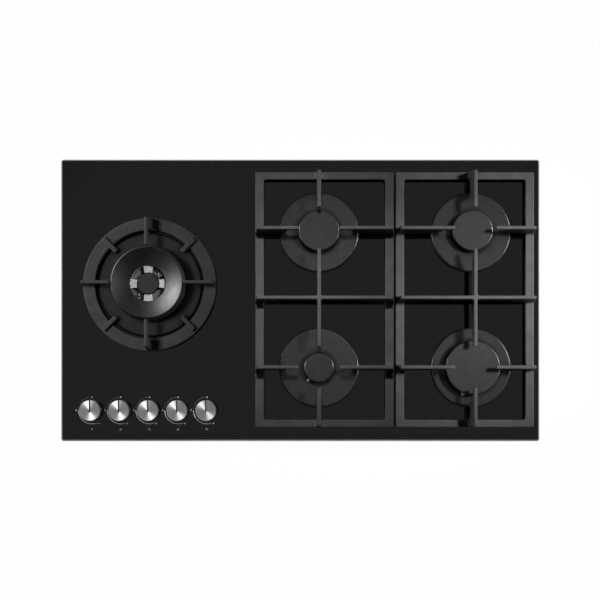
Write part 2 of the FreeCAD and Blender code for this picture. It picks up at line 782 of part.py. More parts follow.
def make_wok_cup():
    inlets = [WOK_Y - WOK_JET_OFFSET, WOK_Y + WOK_JET_OFFSET]
    solid = cup(WOK_X, WOK_Y, WOK_CUP_R, WOK_NECK_R, WOK_NECK_BORE_R, inlets)
    cuts = [screw_hole(place, way, SHEET + CUP_FLOOR) for place, way in cup_screw_places()]
    for angle in (WOK_ELECTRODE_ANGLE, WOK_THERMOCOUPLE_ANGLE):
        x, y = around(WOK_X, WOK_Y, WOK_PROBE_R, angle)
        cuts.append(post(x, y, CUP_SHOULDER - 1, CUP_SHOULDER + CUP_FLOOR + 1, CERAMIC_R + HOLE_GAP))
    return without(solid, cuts)


def base_disc(x, y, radius, hole_r, holes):
    """Shallow enamelled sheet dome with a rounded rim, standing on the glass."""
    top = above(DISC_HEIGHT)
    low = GLASS_TOP
    edge = DISC_EDGE_R
    bend = edge * math.sqrt(0.5)
    inner_edge = edge - DISC_SHEET
    inner_bend = inner_edge * math.sqrt(0.5)
    centre_r = radius - edge
    disc = turned([
        (radius, low), (radius, top - edge),
        ("arc", (centre_r + bend, top - edge + bend), (centre_r, top)),
        (hole_r, top), (hole_r, top - DISC_SHEET), (centre_r, top - DISC_SHEET),
        ("arc", (centre_r + inner_bend, top - edge + inner_bend), (centre_r + inner_edge, top - edge)),
        (radius - DISC_SHEET, low)], x, y)
    return without(disc, [post(hx, hy, low, top + 1, r) for hx, hy, r in holes])


def make_base_discs():
    discs = []
    for name, (x, y) in BURNERS.items():
        ex, ey = electrode_place(name)
        tx, ty = thermocouple_place(name)
        holes = [(ex, ey, CERAMIC_R + HOLE_GAP), (tx, ty, PROBE_R + HOLE_GAP)]
        discs.append(base_disc(x, y, DISC_DIAMETER / 2, cup_r(name) + DISC_CLEARANCE, holes))
    return group(discs)


def crown(x, y, outer_r, under_r, top, wall):
    """Flame spreader: plate on the cup's rim, a skirt outside it and a port wall."""
    plate_low = above(CUP_RIM)
    plate_high = plate_low + CROWN_PLATE
    return turned([
        (0, plate_low), (under_r, plate_low), (under_r, above(DISC_HEIGHT) + DISC_CLEARANCE),
        (outer_r, above(DISC_HEIGHT) + DISC_CLEARANCE), (outer_r, above(top)), (outer_r - wall, above(top)),
        (outer_r - wall, plate_high), (0, plate_high)], x, y)


def make_crown(name):
    x, y = BURNERS[name]
    top = CROWN_TOP[name]
    body = crown(x, y, crown_r(name), cup_r(name) + DISC_CLEARANCE, top, CROWN_WALL)
    tube = post(x, y, VENTURI_BOTTOM, above(CUP_RIM) + 1, VENTURI_R)
    solid = body.fuse(tube).removeSplitter()
    cuts = [post(x, y, VENTURI_BOTTOM - 1, above(top), VENTURI_BORE_R)]
    cuts += radial_slots(x, y, PORT_COUNT[name], crown_r(name) - CROWN_WALL - 1, crown_r(name) + 1,
                         above(top) - PORT_DEPTH, above(top) + 1, PORT_WIDTH, 360.0 / PORT_COUNT[name] / 2)
    low = above(DISC_HEIGHT) - 1
    ex, ey = electrode_place(name)
    tx, ty = thermocouple_place(name)
    cuts.append(post(ex, ey, low, above(top) + 1, CERAMIC_R + HOLE_GAP))
    cuts.append(post(tx, ty, low, above(top) + 1, PROBE_R + HOLE_GAP))
    return without(solid, cuts)


def round_cap(x, y, radius, thickness, seat, spigot_r):
    """Enamelled cap with rounded edges and a locating spigot ring underneath."""
    low = above(seat)
    high = low + thickness
    edge = CAP_EDGE_R
    bend = edge * math.sqrt(0.5)
    return turned([
        (0, low), (spigot_r - SPIGOT_WALL, low), (spigot_r - SPIGOT_WALL, low - SPIGOT_DEPTH),
        (spigot_r, low - SPIGOT_DEPTH), (spigot_r, low),
        (radius - CAP_CHAMFER, low), (radius, low + CAP_CHAMFER),
        (radius, high - edge), ("arc", (radius - edge + bend, high - edge + bend), (radius - edge, high)),
        (0, high)], x, y)


def make_cap(name):
    x, y = BURNERS[name]
    spigot_r = crown_r(name) - CROWN_WALL - SPIGOT_FIT
    cap = round_cap(x, y, cap_r(name), CAP_THICKNESS[name], CROWN_TOP[name], spigot_r)
    low = above(CROWN_TOP[name]) - SPIGOT_DEPTH - 1
    ex, ey = electrode_place(name)
    tx, ty = thermocouple_place(name)
    seat = above(CROWN_TOP[name])
    cuts = [post(ex, ey, low, seat, CERAMIC_R + HOLE_GAP), post(tx, ty, low, seat, PROBE_R + HOLE_GAP)]
    return without(cap, cuts)


def make_wok_head():
    """Double-ring head: outer port wall, inner well wall, hub, and four bridges across the well."""
    plate_low = above(CUP_RIM)
    plate_high = plate_low + CROWN_PLATE
    skirt_low = above(DISC_HEIGHT) + DISC_CLEARANCE
    under_r = WOK_CUP_R + DISC_CLEARANCE
    body = turned([
        (0, plate_low), (under_r, plate_low), (under_r, skirt_low), (WOK_CROWN_R, skirt_low),
        (WOK_CROWN_R, above(WOK_CROWN_TOP)),
        (WOK_CROWN_R - WOK_CROWN_WALL, above(WOK_CROWN_TOP)), (WOK_CROWN_R - WOK_CROWN_WALL, plate_high),
        (WOK_WELL_R + WOK_WELL_WALL, plate_high), (WOK_WELL_R + WOK_WELL_WALL, above(WOK_WELL_TOP)),
        (WOK_WELL_R, above(WOK_WELL_TOP)), (WOK_WELL_R, plate_high), (WOK_HUB_R, plate_high),
        (WOK_HUB_R, above(WOK_HUB_TOP)), (WOK_HUB_R - CROWN_WALL, above(WOK_HUB_TOP)),
        (WOK_HUB_R - CROWN_WALL, plate_high), (0, plate_high)])
    parts = [body]
    high = above(WOK_BRIDGE_TOP)
    low = high - WOK_BRIDGE_DEPTH
    inner = WOK_HUB_R - 1
    outer = WOK_WELL_R + 1
    for index in range(4):
        corners = [V(inner, -WOK_BRIDGE_INNER_WIDTH / 2, low), V(outer, -WOK_BRIDGE_OUTER_WIDTH / 2, low),
                   V(outer, WOK_BRIDGE_OUTER_WIDTH / 2, low), V(inner, WOK_BRIDGE_INNER_WIDTH / 2, low)]
        bridge = Part.Face(outline(corners)).extrude(V(0, 0, WOK_BRIDGE_DEPTH))
        bridge = bridge.cut(post(0, 0, above(WOK_HUB_TOP), high + 1, WOK_INNER_CAP_R + SPIGOT_FIT))
        bridge.rotate(V(0, 0, 0), UP, 90.0 * index)
        parts.append(bridge)
    solid = fused(parts)
    solid.translate(V(WOK_X, WOK_Y, 0))
    cuts = radial_slots(WOK_X, WOK_Y, WOK_PORT_COUNT, WOK_CROWN_R - WOK_CROWN_WALL - 1, WOK_CROWN_R + 1,
                        above(WOK_CROWN_TOP) - PORT_DEPTH - 1, above(WOK_CROWN_TOP) + 1, PORT_WIDTH)
    cuts += radial_slots(WOK_X, WOK_Y, WOK_INNER_PORT_COUNT, WOK_WELL_R - 1, WOK_WELL_R + WOK_WELL_WALL + 1,
                         above(WOK_BRIDGE_TOP) - 3, above(WOK_WELL_TOP) + 1, PORT_WIDTH,
                         180.0 / WOK_INNER_PORT_COUNT)
    ex, ey = around(WOK_X, WOK_Y, WOK_PROBE_R, WOK_ELECTRODE_ANGLE)
    tx, ty = around(WOK_X, WOK_Y, WOK_PROBE_R, WOK_THERMOCOUPLE_ANGLE)
    cuts.append(post(ex, ey, plate_low - 1, plate_high + 1, CERAMIC_R + HOLE_GAP))
    cuts.append(post(tx, ty, plate_low - 1, plate_high + 1, WOK_PROBE_ROD_R + HOLE_GAP))
    cuts.append(post(WOK_X, WOK_Y, plate_low - 1, plate_high + 1, VENTURI_BORE_R))
    return without(solid, cuts)


def make_wok_outer_cap():
    """Ring-shaped cap, dished towards the well, with a flared skirt outside the ports."""
    well = above(WOK_WELL_TOP)
    seat = above(WOK_CROWN_TOP)
    lip = well + WOK_DISH_LIP
    rim = above(WOK_RIM_TOP)
    spigot_r = WOK_CROWN_R - WOK_CROWN_WALL - SPIGOT_FIT
    sag_r, sag_z = WOK_DISH_SAG
    return turned([
        (WOK_WELL_R, well), (WOK_WELL_R, lip),
        ("arc", (WOK_WELL_R + sag_r, lip + sag_z), (WOK_RIM_R - 1.6, rim - 0.4)), (WOK_RIM_R - 1.0, rim),
        (WOK_RIM_R, rim - 0.5), (WOK_SKIRT_R, above(WOK_SKIRT_BOTTOM)), (WOK_SKIRT_R - 1.6, seat),
        (spigot_r, seat), (spigot_r, seat - SPIGOT_DEPTH), (spigot_r - SPIGOT_WALL, seat - SPIGOT_DEPTH),
        (spigot_r - SPIGOT_WALL, seat + WOK_CAP_GROOVE), (WOK_WELL_R + WOK_WELL_WALL + 1, well + 1.2),
        (WOK_WELL_R + WOK_WELL_WALL + 1, well)], WOK_X, WOK_Y)


def make_wok_inner_cap():
    spigot_r = WOK_HUB_R - CROWN_WALL - SPIGOT_FIT
    return round_cap(WOK_X, WOK_Y, WOK_INNER_CAP_R, WOK_INNER_CAP_THICKNESS, WOK_HUB_TOP, spigot_r)


def make_jets():
    """Brass jets standing in the bottom of each cup's neck."""
    bottom = CUP_NECK_BOTTOM + CUP_BOTTOM_WALL
    places = list(BURNERS.values())
    places += [(WOK_X, WOK_Y - WOK_JET_OFFSET), (WOK_X, WOK_Y + WOK_JET_OFFSET)]
    jets = []
    for x, y in places:
        jets.append(turned([(0, bottom), (JET_R, bottom), (JET_R, bottom + JET_HEIGHT - JET_TAPER),
                            (JET_TIP_R, bottom + JET_HEIGHT), (0, bottom + JET_HEIGHT)], x, y))
    return group(jets)


def make_electrodes():
    """Ceramic insulators with a steel tip, one beside each crown and one in the wok well."""
    solids = [electrode(electrode_place(name), CERAMIC_TOP, TIP_TOP) for name in BURNERS]
    wok_place = around(WOK_X, WOK_Y, WOK_PROBE_R, WOK_ELECTRODE_ANGLE)
    solids.append(electrode(wok_place, WOK_CERAMIC_TOP, WOK_TIP_TOP))
    return group(solids)


def electrode(place, ceramic_top, tip_top):
    neck_r = CERAMIC_R - CERAMIC_STEP
    return turned([
        (0, PROBE_FOOT), (neck_r, PROBE_FOOT), (neck_r, CUP_SHOULDER), (CERAMIC_R, CUP_SHOULDER),
        (CERAMIC_R, above(ceramic_top)), (TIP_R, above(ceramic_top) + CERAMIC_TAPER),
        (TIP_R, above(tip_top)), (0, above(tip_top))], place[0], place[1])


# ---- pan supports -------------------------------------------------------------------

def fin_section(foot_width, top_width, half_length):
    """Bar along X whose cross-section tapers to a rounded top edge."""
    low = above(FRAME_BOTTOM + 1)
    high = above(FIN_TOP)
    foot = foot_width / 2
    head = top_width / 2
    edge = FIN_EDGE_R
    bend = edge * (1 - math.sqrt(0.5))
    wire = outline([
        V(-half_length, -foot, low), V(-half_length, -head, high - edge),
        ("arc", V(-half_length, -head + bend, high - bend), V(-half_length, -head + edge, high)),
        V(-half_length, head - edge, high),
        ("arc", V(-half_length, head - bend, high - bend), V(-half_length, head, high - edge)),
        V(-half_length, foot, low)])
    return Part.Face(wire).extrude(V(2 * half_length, 0, 0))


def upright_sheet(profile, width):
    """Prism across Y from a profile of (x, height above the glass) points."""
    def place(item):
        if item[0] == "arc":
            return ("arc", place(item[1]), place(item[2]))
        return V(item[0], -width, above(item[1]))
    return Part.Face(outline([place(item) for item in profile])).extrude(V(0, 2 * width, 0))


def fin(length, bar):
    """Fin standing on a frame bar, from its outer edge at x = 0 to a free tip at x = length."""
    low = FRAME_TOP - FIN_INTO_BAR
    tip_low = FIN_TOP - FIN_TIP_DEPTH
    step_low = FRAME_TOP + FIN_UNDER_RISE
    step_x = length - FIN_TIP_LENGTH
    riser_x = step_x - FIN_STEP_R
    bend = FIN_STEP_R * (1 - math.sqrt(0.5))
    round_off = FIN_HEEL * (1 - math.sqrt(0.5))
    profile = [
        (FIN_SETBACK, low), (FIN_SETBACK, FRAME_TOP), (FIN_END_SLOPE, FIN_TOP - FIN_HEEL),
        ("arc", (FIN_END_SLOPE + round_off, FIN_TOP - round_off), (FIN_END_SLOPE + FIN_HEEL, FIN_TOP)),
        (length - FIN_CHAMFER, FIN_TOP), (length, FIN_TOP - FIN_CHAMFER), (length - FIN_DRAFT, tip_low),
        (step_x, tip_low), ("arc", (riser_x + bend, tip_low - bend), (riser_x, tip_low - FIN_STEP_R)),
        (riser_x - FIN_STEP_RUN, step_low), (bar + FIN_ROOT, FRAME_TOP), (bar - 1, low)]
    sheet = upright_sheet(profile, FIN_FOOT_WIDTH)
    return sheet.common(fin_section(FIN_FOOT_WIDTH, FIN_TOP_WIDTH, length + 10))


def flared_foot(start, end, half, waist, height, flare):
    """Strip along X on top of the frame whose sides curve in from half to waist."""
    low = above(FRAME_TOP - 2)
    base = above(FRAME_TOP)
    high = above(FRAME_TOP + height)
    out, up = flare
    wire = outline([
        V(start, -half, low), V(start, -half, base),
        ("arc", V(start, -waist - out, base + up), V(start, -waist, high)), V(start, waist, high),
        ("arc", V(start, waist + out, base + up), V(start, half, base)), V(start, half, low)])
    return Part.Face(wire).extrude(V(end - start, 0, 0))


def gusset(bar):
    """Flared foot where a fin meets its frame bar."""
    waist = FIN_FOOT_WIDTH / 2 - FIN_DRAFT
    return flared_foot(GUSSET_SETBACK, bar - GUSSET_SETBACK, GUSSET_WIDTH / 2, waist, GUSSET_HEIGHT,
                       GUSSET_FLARE)


def bar_between(half_length, tip_length):
    """Bar along X, deep in the middle, with a shallow tip at each end."""
    tip_low = FIN_TOP - FIN_TIP_DEPTH
    deep = FIN_TOP - CROSSBAR_DEPTH
    inner = half_length - tip_length
    slope = CROSSBAR_DEPTH - FIN_TIP_DEPTH
    profile = [
        (-half_length, FIN_TOP - FIN_CHAMFER), (-half_length + FIN_CHAMFER, FIN_TOP),
        (half_length - FIN_CHAMFER, FIN_TOP), (half_length, FIN_TOP - FIN_CHAMFER),
        (half_length - FIN_DRAFT, tip_low), (inner, tip_low), (inner - slope, deep),
        (-inner + slope, deep), (-inner, tip_low), (-half_length + FIN_DRAFT, tip_low)]
    sheet = upright_sheet(profile, FIN_FOOT_WIDTH)
    return sheet.common(fin_section(FIN_FOOT_WIDTH, FIN_TOP_WIDTH, half_length + 10))


def crossbar(width):
    """Bar from side bar to side bar, standing on both like a fin, arched between them."""
    low = FRAME_TOP - FIN_INTO_BAR
    deep = FIN_TOP - CROSSBAR_DEPTH
    step_low = FRAME_TOP + FIN_UNDER_RISE
    end = width / 2 - FIN_SETBACK
    heel = width / 2 - FIN_END_SLOPE
    round_off = FIN_HEEL * (1 - math.sqrt(0.5))
    bar_in = width / 2 - SIDE_BAR
    foot_in = bar_in - FIN_ROOT
    riser = bar_in - ARCH_ROOT
    bend = ARCH_R * (1 - math.sqrt(0.5))
    riser_top = deep - ARCH_R
    profile = [
        (-end, low), (-end, FRAME_TOP), (-heel, FIN_TOP - FIN_HEEL),
        ("arc", (-heel + round_off, FIN_TOP - round_off), (-heel + FIN_HEEL, FIN_TOP)),
        (heel - FIN_HEEL, FIN_TOP),
        ("arc", (heel - round_off, FIN_TOP - round_off), (heel, FIN_TOP - FIN_HEEL)), (end, FRAME_TOP),
        (end, low), (bar_in + 1, low), (foot_in, FRAME_TOP), (riser, step_low), (riser, riser_top),
        ("arc", (riser - bend, deep - bend), (riser - ARCH_R, deep)), (-riser + ARCH_R, deep),
        ("arc", (-riser + bend, deep - bend), (-riser, riser_top)), (-riser, step_low),
        (-foot_in, FRAME_TOP), (-bar_in - 1, low)]
    sheet = upright_sheet(profile, FIN_FOOT_WIDTH)
    return sheet.common(fin_section(FIN_FOOT_WIDTH, FIN_TOP_WIDTH, width / 2 + 10))


def crossing_web():
    """Upright diamond that fills the corners where the crossbar meets the centre bar."""
    low = above(FIN_TOP - CROSSBAR_DEPTH + 1)
    reach = CROSSING_WEB
    corners = [V(reach, 0, low), V(0, reach, low), V(-reach, 0, low), V(0, -reach, low)]
    return Part.Face(outline(corners)).extrude(V(0, 0, CROSSBAR_DEPTH - 1 - FIN_EDGE_R))


def support_frame():
    outer = plate(SUPPORT_WIDTH, SUPPORT_DEPTH, above(FRAME_BOTTOM), above(FRAME_TOP), BAR_OUTER_R)
    inner = plate(SUPPORT_WIDTH - 2 * SIDE_BAR, SUPPORT_DEPTH - 2 * END_BAR, above(FRAME_BOTTOM) - 1,
                  above(FRAME_TOP) + 1, BAR_INNER_R)
    ring = outer.cut(inner)
    top_edges = [edge for edge in ring.Edges if min(v.Z for v in edge.Vertexes) > above(FRAME_TOP) - 0.01]
    return ring.makeFillet(BAR_EDGE_R, top_edges)


def placed(shape, x, y, degrees):
    copy = shape.copy()
    copy.rotate(V(0, 0, 0), UP, degrees)
    copy.translate(V(x, y, 0))
    return copy


def support_centre(side):
    return SUPPORT_SPLIT_X + side * (SUPPORT_GAP + SUPPORT_WIDTH) / 2


def support_feet_places(side):
    cx = support_centre(side)
    dx = SUPPORT_WIDTH / 2 - SIDE_BAR / 2
    dy = SUPPORT_DEPTH / 2 - FOOT_INSET
    return [(cx + sx * dx, sy * dy) for sx in (-1, 1) for sy in (-1, 1)]


def make_pan_support(side):
    cx = support_centre(side)
    column = COLUMN_LEFT if side < 0 else COLUMN_RIGHT
    half_w = SUPPORT_WIDTH / 2
    half_d = SUPPORT_DEPTH / 2
    frame = support_frame()
    frame.translate(V(cx, 0, 0))
    parts = [frame, placed(crossbar(SUPPORT_WIDTH), cx, 0, 0)]
    parts.append(placed(gusset(SIDE_BAR), cx - half_w, 0, 0))
    parts.append(placed(gusset(SIDE_BAR), cx + half_w, 0, 180))
    centre_half = ROW_REAR - FIN_TIP_GAP
    parts.append(placed(bar_between(centre_half, FIN_TIP_LENGTH), column, 0, 90))
    parts.append(placed(crossing_web(), column, 0, 0))
    for row, way in ((ROW_REAR, 1), (ROW_FRONT, -1)):
        left_length = column - FIN_TIP_GAP - (cx - half_w)
        right_length = cx + half_w - (column + FIN_TIP_GAP)
        end_length = half_d - way * row - FIN_TIP_GAP
        parts.append(placed(fin(left_length, SIDE_BAR), cx - half_w, row, 0))
        parts.append(placed(gusset(SIDE_BAR), cx - half_w, row, 0))
        parts.append(placed(fin(right_length, SIDE_BAR), cx + half_w, row, 180))
        parts.append(placed(gusset(SIDE_BAR), cx + half_w, row, 180))
        parts.append(placed(fin(end_length, END_BAR), column, way * half_d, -90 * way))
        parts.append(placed(gusset(END_BAR), column, way * half_d, -90 * way))
    solid = fused(parts)
    return without(solid, foot_sockets(support_feet_places(side)))


def foot_sockets(places):
    """Blind holes in a support's underside for the stems of its rubber feet."""
    low = above(FRAME_BOTTOM)
    high = low + FOOT_STEM + FOOT_STEM_GAP
    return [post(x, y, low - 1, high, FOOT_STEM_R + FOOT_FIT) for x, y in places]


def rubber_feet(places):
    feet = []
    for x, y in places:
        pad = post(x, y, GLASS_TOP, above(FRAME_BOTTOM), FOOT_R)
        stem = post(x, y, above(FRAME_BOTTOM) - 1, above(FRAME_BOTTOM) + FOOT_STEM, FOOT_STEM_R)
        feet.append(pad.fuse(stem).removeSplitter())
    return group(feet)


def wok_feet_places():
    middle = (WOK_RING_OUTER_R + WOK_RING_INNER_R) / 2
    return [around(WOK_X, WOK_Y, middle, angle) for angle in WOK_FOOT_ANGLES]


def wok_fin():
    """Tall fin on the ring, outer end at x = ring radius, tip above the burner."""
    low = FRAME_TOP - FIN_INTO_BAR
    outer = WOK_RING_OUTER_R - WOK_FIN_SETBACK
    heel = outer - FIN_END_SLOPE
    round_off = FIN_HEEL * (1 - math.sqrt(0.5))
    tip_low = FIN_TOP - WOK_FIN_TIP_DEPTH
    inner = WOK_RING_INNER_R
    bend = WOK_FIN_STEP_R * (1 - math.sqrt(0.5))
    profile = [
        (outer, low), (outer, FRAME_TOP), (heel, FIN_TOP - FIN_HEEL),
        ("arc", (heel - round_off, FIN_TOP - round_off), (heel - FIN_HEEL, FIN_TOP)),
        (WOK_FIN_TIP_R + FIN_CHAMFER, FIN_TOP), (WOK_FIN_TIP_R, FIN_TOP - FIN_CHAMFER),
        (WOK_FIN_TIP_R + FIN_DRAFT, tip_low), (inner - WOK_FIN_STEP_R, tip_low),
        ("arc", (inner - bend, tip_low - bend), (inner, tip_low - WOK_FIN_STEP_R)), (inner, FRAME_TOP - 1),
        (inner + 1, low)]
    sheet = upright_sheet(profile, WOK_FIN_WIDTH)
    foot_width = WOK_FIN_WIDTH + 2 * WOK_FIN_TAPER
    return sheet.common(fin_section(foot_width, WOK_FIN_WIDTH, WOK_RING_OUTER_R + 10))


def wok_gusset():
    """Fillet strips beside a tall fin's foot, over the width of the ring."""
    half = WOK_FIN_WIDTH / 2 + WOK_GUSSET_SIDE
    waist = WOK_FIN_WIDTH / 2 + WOK_GUSSET_WAIST
    start = WOK_RING_INNER_R + WOK_GUSSET_SETBACK
    end = WOK_RING_OUTER_R - WOK_GUSSET_SETBACK
    return flared_foot(start, end, half, waist, WOK_GUSSET_HEIGHT, WOK_GUSSET_FLARE)


def wok_rib():
    """Low diagonal rib resting across the ring."""
    low = FRAME_TOP - 3
    profile = [
        (WOK_RIB_OUTER_R, low), (WOK_RIB_OUTER_R, FRAME_TOP + 2), (WOK_RIB_OUTER_R - 3, WOK_RIB_TOP),
        (WOK_RIB_INNER_R + 2, WOK_RIB_TOP), (WOK_RIB_INNER_R, WOK_RIB_TOP - 2),
        (WOK_RIB_INNER_R + 0.5, FRAME_TOP - 1), (WOK_RING_INNER_R, low)]
    sheet = upright_sheet(profile, WOK_RIB_WIDTH)
    half = WOK_RIB_WIDTH / 2
    solid = sheet.common(box(0, -half, GLASS_TOP, WOK_RING_OUTER_R, half, above(WOK_RIB_TOP + 1)))
    top = [edge for edge in solid.Edges if min(v.Z for v in edge.Vertexes) > above(WOK_RIB_TOP) - 0.01
           and abs(edge.Vertexes[0].X - edge.Vertexes[1].X) > 10]
    return solid.makeFillet(WOK_RIB_EDGE_R, top)


def make_wok_support():
    outer = WOK_RING_OUTER_R
    inner = WOK_RING_INNER_R
    low = above(FRAME_BOTTOM)
    high = above(FRAME_TOP)
    edge = WOK_RING_EDGE_R
    bend = edge * (1 - math.sqrt(0.5))
    ring = turned([
        (inner, low), (outer, low), (outer, high - edge),
        ("arc", (outer - bend, high - bend), (outer - edge, high)), (inner + edge, high),
        ("arc", (inner + bend, high - bend), (inner, high - edge))])
    parts = [ring]
    for index in range(4):
        parts.append(placed(wok_fin(), 0, 0, 90.0 * index))
        parts.append(placed(wok_gusset(), 0, 0, 90.0 * index))
        parts.append(placed(wok_rib(), 0, 0, 45 + 90.0 * index))
    solid = fused(parts)
    solid.translate(V(WOK_X, WOK_Y, 0))
    return without(solid, foot_sockets(wok_feet_places()))


# ---- knobs, spindles, valves --------------------------------------------------------

def spindle_section(x, y, z0, z1, radius, flat_z):
    """Round shaft with a flat on its front side above flat_z."""
    shaft = post(x, y, z0, z1, radius)
    cut = box(x - radius - 1, y - radius - 1, flat_z, x + radius + 1, y - radius + SPINDLE_FLAT, z1 + 1)
    return shaft.cut(cut)


def make_knob(index):
    x = knob_x(index)
    y = KNOB_Y
    radius = KNOB_DIAMETER / 2
    low = above(KNOB_BOTTOM)
    high = low + KNOB_HEIGHT
    under_face = high - KNOB_FACE
    shell = turned([
        (0, under_face), (radius - KNOB_WALL, under_face), (radius - KNOB_WALL, low), (radius, low),
        (radius, high - KNOB_EDGE), (radius - KNOB_EDGE, high), (0, high)], x, y)
    boss = post(x, y, low + KNOB_BOSS_INSET, under_face + 1, KNOB_BOSS_R)
    solid = shell.fuse(boss).removeSplitter()
    bore = spindle_section(x, y, low, under_face, SPINDLE_R + KNOB_FIT, low)
    pointer = box(x - POINTER_WIDTH / 2, y - POINTER_PAST_CENTRE, high - POINTER_DEPTH,
                  x + POINTER_WIDTH / 2, y + radius + 1, high + 1)
    return without(solid, [bore, pointer])


def make_spindle(index):
    low = above(KNOB_BOTTOM)
    top = low + KNOB_HEIGHT - KNOB_FACE - SPINDLE_TOP_GAP
    return spindle_section(knob_x(index), KNOB_Y, SPINDLE_BOTTOM, top, SPINDLE_R, low)


def make_valve_plug(index):
    """Tapered gas plug with a blind socket that the spindle turns and slides in."""
    x = knob_x(index)
    plug = turned([(0, PLUG_BOTTOM), (PLUG_BOTTOM_R, PLUG_BOTTOM), (PLUG_TOP_R, PLUG_TOP), (0, PLUG_TOP)],
                  x, KNOB_Y)
    socket_bottom = SPINDLE_BOTTOM - PUSH_TRAVEL - PUSH_SPARE
    socket = post(x, KNOB_Y, socket_bottom, PLUG_TOP + 1, SPINDLE_R + RUNNING_FIT)
    port = rod(V(x, KNOB_Y - PLUG_TOP_R, PLUG_PORT_Z), V(0, 1, 0), 2 * PLUG_TOP_R, PLUG_PORT_R)
    return without(plug, [socket, port])


def make_valve_bodies():
    """Valve castings with their screwed-on bonnets, clamped along the manifold."""
    solids = []
    cone_gap = PLUG_FIT
    slope = (PLUG_TOP_R - PLUG_BOTTOM_R) / (PLUG_TOP - PLUG_BOTTOM)
    for x, y in knob_places():
        block = box(x - VALVE_HALF_WIDTH, y - VALVE_FRONT, VALVE_BOTTOM, x + VALVE_HALF_WIDTH,
                    y + VALVE_REAR, VALVE_TOP)
        bore_top_r = PLUG_TOP_R + cone_gap + slope * (VALVE_TOP - PLUG_TOP)
        bore = turned([(0, PLUG_BOTTOM - cone_gap), (PLUG_BOTTOM_R + cone_gap, PLUG_BOTTOM - cone_gap),
                       (bore_top_r, VALVE_TOP + 0.01), (0, VALVE_TOP + 0.01)], x, y)
        reach = MANIFOLD_Y - MANIFOLD_R + MANIFOLD_WALL - (y + VALVE_REAR)
        spigot = rod(V(x, y + VALVE_REAR - 1, GAS_Z), V(0, 1, 0), reach + 1, VALVE_SPIGOT_R)
        body = block.fuse(spigot).removeSplitter().cut(bore)
        port_start = V(x, y + VALVE_PORT_START, GAS_Z)
        body = body.cut(rod(port_start, V(0, 1, 0), reach + VALVE_REAR, VALVE_PORT_R))
        solids.append(without(body, pipe_exit_holes(x)))
        bonnet_top = VALVE_TOP + BONNET_THICKNESS
        bonnet = box(x - VALVE_HALF_WIDTH, y - VALVE_FRONT + BONNET_INSET_FRONT, VALVE_TOP,
                     x + VALVE_HALF_WIDTH, y + VALVE_REAR - BONNET_INSET_REAR, bonnet_top)
        solids.append(bonnet.cut(post(x, y, VALVE_TOP - 1, bonnet_top + 1, SPINDLE_R + RUNNING_FIT)))
    return group(solids)


def make_switches():
    """Spark switch block round each spindle, on the bonnet."""
    low = VALVE_TOP + BONNET_THICKNESS
    high = low + SWITCH_HEIGHT
    half = SWITCH_WIDTH / 2
    blocks = []
    for x, y in knob_places():
        block = box(x - half, y - half, low, x + half, y + half, high)
        blocks.append(block.cut(post(x, y, low - 1, high + 1, SPINDLE_R + SWITCH_HOLE_GAP)))
    return group(blocks)


def make_magnets():
    """Flame-failure magnet units on each valve's right side."""
    units = []
    for x, y in knob_places():
        start = V(x + VALVE_HALF_WIDTH, y, MAGNET_Z)
        body = rod(start, V(1, 0, 0), MAGNET_LENGTH, MAGNET_R)
        flange = rod(start, V(1, 0, 0), MAGNET_NUT_LENGTH, MAGNET_NUT_R)
        units.append(body.fuse(flange).removeSplitter())
    return group(units)


def make_knob_seals():
    """Rubber collars in the glass round each spindle."""
    seals = []
    bore_r = SPINDLE_R + SPINDLE_SEAL_GAP
    neck_r = SEAL_HOLE_R - SPINDLE_SEAL_GAP
    low = GLASS_TOP - SEAL_NECK
    high = GLASS_TOP + SEAL_RIM
    for x, y in knob_places():
        seals.append(turned([
            (bore_r, low), (neck_r, low), (neck_r, GLASS_TOP), (SEAL_RIM_R, GLASS_TOP),
            (SEAL_RIM_R - SEAL_RIM_CHAMFER, high), (bore_r, high)], x, y))
    return group(seals)


# ---- gas line -----------------------------------------------------------------------

def manifold_path():
    pocket_wall = TRAY_HALF_Y - SHEET - INLET_POCKET
    end_x = knob_x(KNOB_COUNT - 1) + MANIFOLD_PAST_VALVES
    start_y = pocket_wall + MANIFOLD_INTO_POCKET
    corner = V(MANIFOLD_SIDE_X, MANIFOLD_Y, GAS_Z)
    return [V(MANIFOLD_SIDE_X, start_y, GAS_Z), corner, V(end_x, MANIFOLD_Y, GAS_Z)]


def make_manifold():
    """Steel rail pipe from the inlet elbow to the valves, closed at its far end."""
    path = manifold_path()
    pipe = along(path, MANIFOLD_R, MANIFOLD_BEND_R)
    inside = [path[0], path[1], path[2] - V(MANIFOLD_END_WALL, 0, 0)]
    pipe = pipe.cut(along(inside, MANIFOLD_R - MANIFOLD_WALL, MANIFOLD_BEND_R))
    holes = [rod(V(x, MANIFOLD_Y - MANIFOLD_R - 1, GAS_Z), V(0, 1, 0), MANIFOLD_WALL + 1.5,
                 VALVE_SPIGOT_R + RUNNING_FIT) for x, _ in knob_places()]
    return without(pipe, holes)


